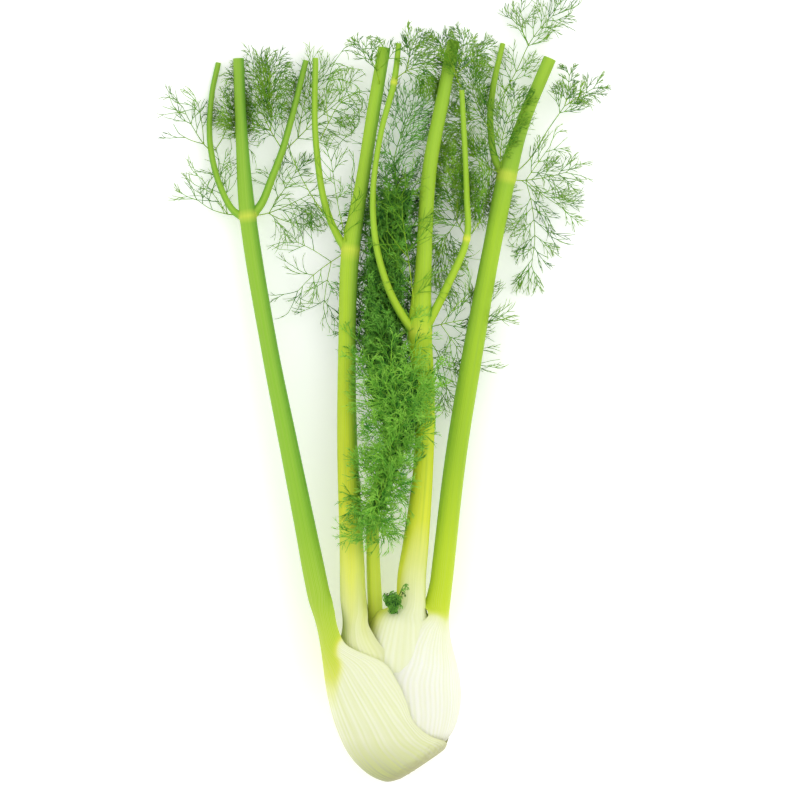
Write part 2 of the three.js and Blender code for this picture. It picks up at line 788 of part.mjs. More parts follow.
      reach: 15,
    },
    { path: [[38, 386, 33, 0.7], [46, 392, 35, 0.6], [55, 402, 34, 0.5]], pairs: 1, reach: 15 },
    { path: [[38, 386, 33, 0.7], [42, 400, 36, 0.6], [44, 412, 35, 0.5]], pairs: 1, reach: 13 },
  ],
  outer_right_spray_west: [
    {
      path: [[66, 325, 21, 0.9], [60, 328, 23, 0.8], [53, 332, 23, 0.6], [46, 338, 22, 0.5]],
      pairs: 2,
      reach: 16,
    },
    { path: [[60, 328, 23, 0.7], [56, 318, 23, 0.6], [51, 307, 22, 0.5]], pairs: 1, reach: 14 },
  ],
  outer_right_spray_front: [
    {
      path: [[70, 327, 24, 0.9], [71, 336, 28, 0.8], [76, 352, 29, 0.6], [80, 366, 27, 0.5]],
      pairs: 2,
      reach: 14,
    },
  ],
  outer_right_branch_spray: [
    {
      path: [[60, 352, 15, 0.9], [55, 360, 18, 0.8], [50, 372, 20, 0.6], [47, 386, 20, 0.5]],
      pairs: 2,
      reach: 15,
    },
    { path: [[55, 360, 18, 0.7], [47, 358, 19, 0.6], [39, 360, 18, 0.5]], pairs: 1, reach: 13 },
  ],
  outer_right_long_spray: [
    {
      path: [
        [64, 366, 12, 0.8],
        [68, 374, 12, 0.8],
        [77, 391, 11, 0.7],
        [84, 410, 9, 0.7],
        [94, 423, 9, 0.6],
        [107, 431, 9, 0.5],
      ],
      pairs: 4,
      reach: 15,
      from: 0.12,
    },
    { path: [[84, 410, 9, 0.6], [79, 420, 8, 0.5], [76, 429, 7, 0.5]], pairs: 1, reach: 12 },
  ],
  outer_right_thin_branch: [
    {
      path: [
        [75, 325, 19, 0.9],
        [85, 335, 19, 0.9],
        [95.5, 352, 18, 0.8],
        [106, 367, 17, 0.7],
        [108, 381, 16, 0.6],
        [104, 392, 15, 0.5],
      ],
      pairs: 2,
      reach: 17,
      from: 0.4,
    },
    { path: [[106, 367, 17, 0.6], [116, 373, 18, 0.5], [125, 379, 18, 0.5]], pairs: 1, reach: 15 },
  ],
  outer_right_spray_east: [
    {
      path: [[74, 321, 18, 0.9], [82, 321, 17, 0.8], [96, 325, 16, 0.6], [110, 330, 15, 0.5]],
      pairs: 2,
      reach: 18,
    },
    { path: [[82, 321, 17, 0.7], [94, 314, 13, 0.6], [107, 304, 10, 0.5]], pairs: 1, reach: 17 },
    {
      path: [[82, 321, 17, 0.7], [88, 306, 11, 0.6], [92, 286, 7, 0.6], [91, 268, 5, 0.5]],
      pairs: 2,
      reach: 17,
    },
    { path: [[82, 321, 17, 0.7], [92, 332, 20, 0.6], [103, 343, 21, 0.5]], pairs: 1, reach: 15 },
  ],
};

const GOLDEN_ANGLE = Math.PI * (3 - Math.sqrt(5)); // turns each rib of the plume away from the last few

// The young leaf from the bulb's heart is a dense plume: ribs stand out all round a slim core.
// The core's rings, as [x, y, z, half width, half height].
const PLUME_CORE = [
  [-12, 108, 39, 4, 3],
  [-9, 118, 39, 8, 5],
  [-4, 138, 39, 8, 5],
  [2, 160, 41, 10, 6],
  [3, 184, 42, 12, 6],
  [-3, 207, 38, 10, 6],
  [-7, 226, 29, 7, 5],
  [-7, 258, 24, 7, 5],
  [-3, 289, 24, 6, 4],
  [1, 312, 24, 5, 4],
  [3, 322, 24, 2, 2],
];
const PLUME_SIDES = 6;
const PLUME_RIBS = 18;
const PLUME_RIB_LENGTH = 12;
const PLUME_FLATNESS = 0.6; // how far the plume spreads up and down for its spread to the sides
// A plume rib, root first, as [share of its length out of the core, how far it leans ahead, radius].
const PLUME_RIB = [[-0.17, 0, 1], [0.45, 5, 0.8], [1, 13, 0.5]];
const PLUME_TIP = {
  path: [[2, 316, 24, 1.4], [0, 333, 25, 1], [5, 350, 24, 0.8], [11, 364, 23, 0.5]],
  pairs: 3,
  reach: 22,
};

// A point on the plume core's skin, and the way out of it. `t` runs along the core and `turn` round it.
function onPlume(t, turn, out) {
  const [x, y, z, wide, high] = [0, 1, 2, 3, 4].map((k) => smooth(PLUME_CORE.map((row) => row[k]), t));
  const lift = out > 0 ? out * PLUME_FLATNESS : out;
  return new THREE.Vector3(x + (wide + out) * Math.cos(turn), y, z + (high + lift) * Math.sin(turn));
}

function plumeCore(grow = 0) {
  const rows = Array.from({ length: PLUME_CORE.length }, (_, i) =>
    Array.from({ length: PLUME_SIDES }, (_, k) =>
      onPlume(i / (PLUME_CORE.length - 1), (-k / PLUME_SIDES) * 2 * Math.PI, grow),
    ),
  );
  return solid(loft(rows));
}

const plumeRibs = Array.from({ length: PLUME_RIBS }, (_, n) => ({
  path: PLUME_RIB.map(([share, ahead, radius]) => {
    const p = onPlume((n + 0.4) / PLUME_RIBS, n * GOLDEN_ANGLE, share * PLUME_RIB_LENGTH);
    return [p.x, p.y + ahead, p.z, radius];
  }),
  pairs: 1,
  reach: 20,
  from: 0.25,
}));

// The curled young leaf that peeps out of the bulb's top.
const TUFT_CORE = [[1, 55, 38, 1.4], [-2, 61, 43, 2.8], [0, 65, 44, 1.4]];
const tuftRibs = [[-5, 66, 46], [3, 68, 47], [0, 62, 50]].map(([x, y, z]) => ({
  path: [[-2, 61, 43, 0.8], [x, y, z, 0.6]],
  pairs: 1,
  reach: 6,
  from: 0.3,
}));

// ---- Assembly ----
// Pieces are made in order, and each is cut clear of those before it that it would touch.

const COLOURS = {
  root: { color: 0xd8d3ae, roughness: 0.75 },
  outer: { color: 0xa5cb3e, roughness: 0.45 },
  inner: { color: 0xb9d43c, roughness: 0.45 },
  thread: { color: 0x4f8a35, roughness: 0.6 },
  dark: { color: 0x33682a, roughness: 0.6 },
};

const group = new THREE.Group();
const placed = [];

// Whether two bodies' bounding boxes meet.
const near = (a, b) => {
  const [p, q] = [a.boundingBox(), b.boundingBox()];
  return [0, 1, 2].every((k) => p.min[k] < q.max[k] && q.min[k] < p.max[k]);
};

// A body cut clear of what is placed already, as one piece.
const cutClear = (body) =>
  largest(placed.reduce((left, other) => (near(left, other) ? left.subtract(other) : left), body));

// A whole leaf: its base and its stalk grown together.
const leaf = (base, stations, grow) => Manifold.union([base, stalk(stations, grow)]);

function show(name, body, colour) {
  const material = new THREE.MeshStandardMaterial({ ...COLOURS[colour], metalness: 0 });
  const mesh = new THREE.Mesh(geometryOf(body), material);
  mesh.name = name;
  group.add(mesh);
}

// Adds a solid piece. `make` gives its body, grown outwards by a clearance.
function add(name, make, colour) {
  show(name, cutClear(make(0)), colour);
  placed.push(make(GAP));
}

// Adds a spray: its ribs, and a core that they stand on if it has one. A shoot that would cross another piece
// is turned until it clears it, and left out where it can't.
function addSpray(name, ribs, seed, colour, core) {
  const standing = ribs.map((rib) => solidOf(ribSkin(rib, seed, () => null)));
  const kept = new Map();
  const settle = (shoot) => {
    for (let attempt = 0; attempt < TRIES; attempt++) {
      const turned = shootAt(shoot, attempt);
      const { points, faces } = shootSkin(turned);
      const body = solidOf({ points, faces: [...faces, [0, 2, 1]] });
      const crosses = (other) => near(body, other) && body.intersect(other).volume() > TOUCH;
      if (placed.some(crosses) || standing.some(crosses)) continue;
      standing.push(body);
      kept.set(shoot.seed, attempt);
      return turned;
    }
    return null;
  };
  const again = (shoot) => (kept.has(shoot.seed) ? shootAt(shoot, kept.get(shoot.seed)) : null);
  const bodies = ribs.map((rib, r) => solidOf(ribSkin(rib, seed + 1000 * r, settle)));
  const guards = ribs.map((rib, r) => solidOf(ribSkin(rib, seed + 1000 * r, again, GAP)));
  if (core) {
    bodies.push(core(0));
    guards.push(core(GAP));
  }
  show(name, cutClear(Manifold.union(bodies)), colour);
  placed.push(Manifold.union(guards));
}

add("root_plate", (grow) => lobe(ROOT_PLATE, grow), "root");
for (const side of ["outer_left", "outer_right"]) {
  add(`${side}_leaf`, (grow) => leaf(wrap(BASES[side], grow), STALKS[side], grow), "outer");
}
add("heart_leaf", (grow) => stalk(STALKS.heart, grow), "inner");
add("inner_left_leaf", (grow) => leaf(wrap(BASES.inner_left, grow), STALKS.inner_left, grow), "inner");
add("inner_right_leaf", (grow) => leaf(lobe(BASES.inner_right, grow), STALKS.inner_right, grow), "inner");
addSpray("heart_tuft", tuftRibs, 5, "dark", (grow) => limb(TUFT_CORE, 5, 4, grow));
addSpray("heart_plume", [PLUME_TIP, ...plumeRibs], 3, "dark", plumeCore);
Object.entries(SPRAYS).forEach(([name, ribs], i) => addSpray(name, ribs, 10 * i + 7, "thread"));

export default group;
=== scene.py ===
# A whole Florence fennel lying on a white table: the finished surfaces of its leaves, threads and root.
#
# Sizes are in millimetres, and MM turns them to metres where a mesh is made. +Y runs along the stalks
# from the root, +X is to the right, and +Z is up from the table.
import math

import bpy
import numpy as np
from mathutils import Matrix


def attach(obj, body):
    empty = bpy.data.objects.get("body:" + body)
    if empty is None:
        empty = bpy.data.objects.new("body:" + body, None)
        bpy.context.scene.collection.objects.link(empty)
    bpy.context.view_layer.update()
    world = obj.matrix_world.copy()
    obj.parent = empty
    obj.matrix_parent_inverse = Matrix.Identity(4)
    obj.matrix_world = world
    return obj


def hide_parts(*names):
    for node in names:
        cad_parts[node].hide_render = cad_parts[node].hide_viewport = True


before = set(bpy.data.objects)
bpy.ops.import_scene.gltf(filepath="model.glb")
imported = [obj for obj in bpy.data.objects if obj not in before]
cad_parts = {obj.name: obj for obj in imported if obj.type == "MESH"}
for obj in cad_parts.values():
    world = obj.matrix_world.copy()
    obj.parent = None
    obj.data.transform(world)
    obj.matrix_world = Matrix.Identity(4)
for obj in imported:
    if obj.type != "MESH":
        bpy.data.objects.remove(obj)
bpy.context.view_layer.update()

# ---- The table, the lamp and the camera ----
# A matt white acrylic table top, faintly lit from below, under bright white surroundings and one large
# soft lamp to the upper right. Shadows are hardly seen on it.
MM = 0.001
TABLE_SIZE = 3000
TABLE_DROP = 0.1  # how far the table top lies under the fennel, so that the two never share a face
TABLE_WHITE = "#fefefe"
TABLE_GLOW = 0.2
SURROUND_WHITE = "#ffffff"
SURROUND_STRENGTH = 1.0
LAMP_PLACE = (700, 650, 1200)
LAMP_SIZE = 900
LAMP_WATTS = 2.5
VIEW_MIDDLE = (3.7, 184.1, 28)
VIEW_WIDTH = 496
LENS = 200
SENSOR = 36


def linear(code):
    """The linear colour of an sRGB hex code, with full opacity."""
    channels = [int(code[i:i + 2], 16) / 255 for i in (1, 3, 5)]
    return tuple(c / 12.92 if c <= 0.04045 else ((c + 0.055) / 1.055) ** 2.4 for c in channels) + (1.0,)


def add_node(tree, kind, sockets=(), output=0, **settings):
    """Adds a node and gives one of its outputs. A socket takes a value, or the output that feeds it."""
    made = tree.nodes.new("ShaderNode" + kind)
    for key, value in settings.items():
        setattr(made, key, value)
    for key, value in dict(sockets).items():
        if isinstance(value, bpy.types.NodeSocket):
            tree.links.new(value, made.inputs[key])
        else:
            made.inputs[key].default_value = value
    return made.outputs[output]


def new_material(name):
    """A material, its empty node tree, and the socket that takes its surface."""
    made = bpy.data.materials.new(name)
    made.use_nodes = True
    tree = made.node_tree
    tree.nodes.clear()
    return made, tree, tree.nodes.new("ShaderNodeOutputMaterial").inputs["Surface"]


white_table, tree, surface = new_material("matt_white_table")
paint = add_node(tree, "BsdfPrincipled", {
    "Base Color": linear(TABLE_WHITE), "Roughness": 0.9, "Emission Color": linear(TABLE_WHITE),
    "Emission Strength": TABLE_GLOW,
})
tree.links.new(paint, surface)
bpy.ops.mesh.primitive_plane_add(size=TABLE_SIZE * MM, location=(0, 0, -TABLE_DROP * MM))
table = bpy.context.object
table.name = "table_top"
table.data.materials.append(white_table)

surround = bpy.data.worlds.new("white_surroundings")
surround.use_nodes = True
sky = surround.node_tree.nodes["Background"]
sky.inputs["Color"].default_value = linear(SURROUND_WHITE)
sky.inputs["Strength"].default_value = SURROUND_STRENGTH
bpy.context.scene.world = surround
bpy.context.scene.view_settings.view_transform = "Standard"

lamp = bpy.data.objects.new("soft_lamp", bpy.data.lights.new("soft_lamp", "AREA"))
lamp.data.size = LAMP_SIZE * MM
lamp.data.energy = LAMP_WATTS
lamp.location = [v * MM for v in LAMP_PLACE]
aim = np.subtract(VIEW_MIDDLE, LAMP_PLACE)
lamp_tilt = math.atan2(math.hypot(aim[0], aim[1]), -aim[2])
lamp.rotation_euler = (lamp_tilt, 0, math.atan2(aim[1], aim[0]) - math.pi / 2)
bpy.context.collection.objects.link(lamp)

camera = bpy.data.objects.new("camera", bpy.data.cameras.new("camera"))
camera.data.lens = LENS
camera.data.sensor_width = SENSOR
camera_height = VIEW_MIDDLE[2] + VIEW_WIDTH * LENS / SENSOR
camera.location = [v * MM for v in (*VIEW_MIDDLE[:2], camera_height)]
bpy.context.collection.objects.link(camera)
bpy.context.scene.camera = camera

# ---- The root plate ----
# The fennel's crown, which all its leaves grow from. It was trimmed straight across with a knife, so its
# cut face is flat but rough, browned by the air, with the ends of the leaves' veins showing as darker
# dots.
BULB_MID = 28.6  # height over the table of the bulb's middle, and of every ring that gives none of its own
FULLNESS = 2.25  # exponent of a base's outline: 2 is an ellipse, and more is fuller
ROOT_RINGS = [  # left x, left y, right x, right y, half thickness
    (4, -50, 30.6, -32, 11), (1, -46.5, 29, -28, 12), (-1, -40, 22, -26.5, 9.5), (4, -33, 14, -27.5, 4),
]
ROOT_COLUMNS = 96
ROOT_ROWS = 16
CUT_RINGS = 18  # rings of faces on the cut face
CUT_ROUGHNESS = 0.35  # how far the cut face's torn fibres stand up
CUT_LOOKS = (0.5, -0.85, 0)  # the way they stand
CROWN_PALE = "#d9d3b0"
CROWN_BROWNED = "#8f8463"
CROWN_VEINS = "#75673f"
CROWN_BLOTCH = 4
CROWN_VEIN_GAP = 2.6
CROWN_FIBRE = 0.8
CROWN_RELIEF = 0.4


def whole_rings(rings):
    """Rings of a base with the height of each one's middle."""
    return [(*ring, BULB_MID)[:6] for ring in rings]


def between(values, count):
    """`count` rows evenly along a smooth curve through the rows of values."""
    rows = np.asarray(values, float)
    at = np.linspace(0, len(rows) - 1, count)
    i = np.clip(at.astype(int), 0, len(rows) - 2)
    f = (at - i)[:, None]
    padded = np.concatenate([rows[:1], rows, rows[-1:]])
    p0, p1, p2, p3 = (padded[i + k] for k in range(4))
    return (2 * p1 + (p2 - p0) * f + (2 * p0 - 5 * p1 + 4 * p2 - p3) * f**2
            + (3 * p1 - p0 - 3 * p2 + p3) * f**3) / 2


def on_ring(ring, turn, out, fullness=FULLNESS):
    """Points on a ring's outline. Turn 0 is its left edge, a quarter its front, a half its right edge."""
    left_x, left_y, right_x, right_y, half, middle = ring
    c, s = np.cos(turn), np.sin(turn)
    u = -np.sign(c) * np.abs(c) ** (2 / fullness)
    w = np.sign(s) * np.abs(s) ** (2 / fullness)
    across = (1 + 2 * out / math.hypot(right_x - left_x, right_y - left_y)) * u
    return np.stack([
        (left_x + right_x) / 2 + (right_x - left_x) / 2 * across,
        (left_y + right_y) / 2 + (right_y - left_y) / 2 * across,
        np.maximum(0, middle + (half + out) * w),
    ], axis=-1)


def grid_faces(rows, columns):
    """The quads of a closed loft: rows of loops, each of so many columns."""
    i = np.arange(rows - 1)[:, None] * columns
    k = np.arange(columns)[None, :]
    j = (k + 1) % columns
    return np.stack([i + k, i + j, i + columns + j, i + columns + k], axis=-1).reshape(-1, 4)


def closed_loft(rows):
    """Points and faces of a closed skin through rows of loops, with one face over each end."""
    rows = np.asarray(rows)
    count, columns = rows.shape[:2]
    last = (count - 1) * columns
    faces = grid_faces(count, columns).tolist()
    faces += [list(range(columns))[::-1], list(range(last, last + columns))]
    return rows.reshape(-1, 3), faces


def make_piece(name, points, faces, materials, node, values=(), face_materials=None, crease=None):
    """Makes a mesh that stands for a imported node. `values` are named numbers, one for each point."""
    mesh = bpy.data.meshes.new(name)
    mesh.from_pydata((np.asarray(points) * MM).tolist(), [], faces)
    for key, numbers in dict(values).items():
        attribute = mesh.attributes.new(key, "FLOAT", "POINT")
        attribute.data.foreach_set("value", np.asarray(numbers, np.float32))
    for each in materials:
        mesh.materials.append(each)
    if face_materials is not None:
        mesh.polygons.foreach_set("material_index", np.asarray(face_materials, np.int32))
    mesh.shade_smooth()
    if crease is not None:
        mesh.set_sharp_from_angle(angle=math.radians(crease))
    mesh.update()
    piece = bpy.data.objects.new(name, mesh)
    bpy.context.collection.objects.link(piece)
    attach(piece, "root")
    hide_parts(node)
    return piece


# Cut crown: fibrous flesh, browned in rings and speckled where the veins end.
cut_crown, tree, surface = new_material("cut_crown")
from_middle = add_node(tree, "Attribute", output="Fac", attribute_name="from_middle")
place = add_node(tree, "TexCoord", output="Object")
blotches = add_node(tree, "TexNoise", {"Vector": place, "Scale": 1 / (CROWN_BLOTCH * MM), "Detail": 6})
browning = add_node(tree, "Math", {0: from_middle, 1: blotches, 2: -0.05}, operation="MULTIPLY_ADD")
flesh = add_node(tree, "ValToRGB", {"Fac": browning})
pale, browned = flesh.node.color_ramp.elements
pale.color = linear(CROWN_PALE)
pale.position = 0.1
browned.color = linear(CROWN_BROWNED)
browned.position = 0.75
veins = add_node(tree, "TexVoronoi", {"Vector": place, "Scale": 1 / (CROWN_VEIN_GAP * MM)}, "Distance")
dots = add_node(tree, "MapRange", {0: veins, 1: 0.12, 2: 0.3, 3: 0.45, 4: 0})
speckled = add_node(tree, "Mix", {0: dots, 6: flesh, 7: linear(CROWN_VEINS)}, 2, data_type="RGBA")
fibres = add_node(tree, "TexNoise", {"Vector": place, "Scale": 1 / (CROWN_FIBRE * MM), "Detail": 4})
bump = add_node(tree, "Bump", {"Height": fibres, "Distance": CROWN_RELIEF * MM, "Strength": 0.7})
skin = add_node(tree, "BsdfPrincipled", {
    "Base Color": speckled, "Roughness": 0.8, "IOR": 1.4, "Normal": bump,
})
tree.links.new(skin, surface)

turns = np.linspace(0, 2 * math.pi, ROOT_COLUMNS, endpoint=False)
rings = between(whole_rings(ROOT_RINGS), ROOT_ROWS)
outline = on_ring(rings[0], turns, 0)
middle = outline.mean(axis=0)
shares = np.linspace(0, 1, CUT_RINGS + 1)[1:-1]
chance = np.random.default_rng(11)
rows = [
    middle + (outline - middle) * share
    + np.array(CUT_LOOKS) * chance.normal(0, CUT_ROUGHNESS, (ROOT_COLUMNS, 1))
    for share in shares
]
rows += [on_ring(ring, turns, 0) for ring in rings]
points, faces = closed_loft(rows)
spread = np.repeat([*shares, *[1.0] * ROOT_ROWS], ROOT_COLUMNS)
make_piece("root_plate_trimmed", points, faces, [cut_crown], "root_plate",
           {"from_middle": spread}, crease=50)

# ---- The leaves, from base to cut stalk ----
# Each leaf is one piece: a crisp, nearly white base that wraps the bulb, and the round green stalk that
# it narrows to, with side branches at the stalk's joint. One set of fine ribs runs the whole way, fanned
# out over the bulb and close together on the stalk. Every stalk and branch was cut square with a knife.
SHEATH_EDGE = 0.7  # thickness of an outer base at its thin margins
SHEATH_BACK = 6  # and at its thick middle
SHEATH_SHARE = 0.55  # most of the bulb's half width that a base may fill
FULL_WIDTH = 20  # half width of the narrowest ring that is as full as the bulb. Narrower ones are rounder
SINK_FROM = 0.75  # share of the way from a base's back to its margin where it starts to sink in
BASE_ROWS = 72
STALK_STEP = 4  # length of a row of faces on a stalk
COLUMNS_PER_RIB = 4
INNER_COLUMNS = 20
RIB_HEIGHTS = ([0, 22, 60, 115, 480], [0.05, 0.16, 0.18, 0.1, 0.09])  # by distance from the root end
RIB_STRENGTHS = (0.15, 1.25)  # share of that height that the weakest and the strongest rib has
RIB_WANDER = 0.18  # how far a rib strays from its even place, for the gap between two
RIB_WAVES = 9
RIB_SHARPNESS = 1.4
RIB_FADE = 12  # how suddenly the ribs end at a margin
MARGIN = 172  # degrees from a stalk's back round to the shallow groove along its inner side
BLEND_FROM = 0.7  # share of the way up a base where it starts to turn into its stalk
CLOSING = (0.6, 0.9)  # and where its hollow closes
BRANCH_COLUMNS = 24
BRANCH_RIBS = 6
BRANCH_RELIEF = 0.05
BRANCH_CREST = 0.6  # how free of furrows its crests look, for a stalk's
BRANCH_FLARE = 0.35  # how much thicker a branch is where it leaves its stalk
BRANCH_FLARE_RUN = 6
BRANCH_STEP = 2
CUT_RIM = [(0.97, 0.12), (0.9, 0.18), (0.6, 0.1), (0.25, 0)]  # a cut end's rings: size, and how far out
CUT_ROWS = len(CUT_RIM) - 1  # rows of faces on a cut end that show its pith
COLLAR = 0.75  # how far the pale swollen collar of a joint spreads
COLLAR_SWELL = 0.35
WHITEST = -8  # the height at which a base is whitest
GREEN_BLUR = (0.1, 0.15)  # how far a green strip's edge blurs in and out, for the way to the margin
JOINTS = np.array([  # x, y, z and the stalk's radius there
    (-91, 298, 14, 5), (-27, 276, 25, 5.5), (16, 227, 31, 7), (45, 284, 30, 2.1), (0, 381, 30, 1.8),
    (41, 378, 29, 1.6), (70, 323, 18, 5.8),
])

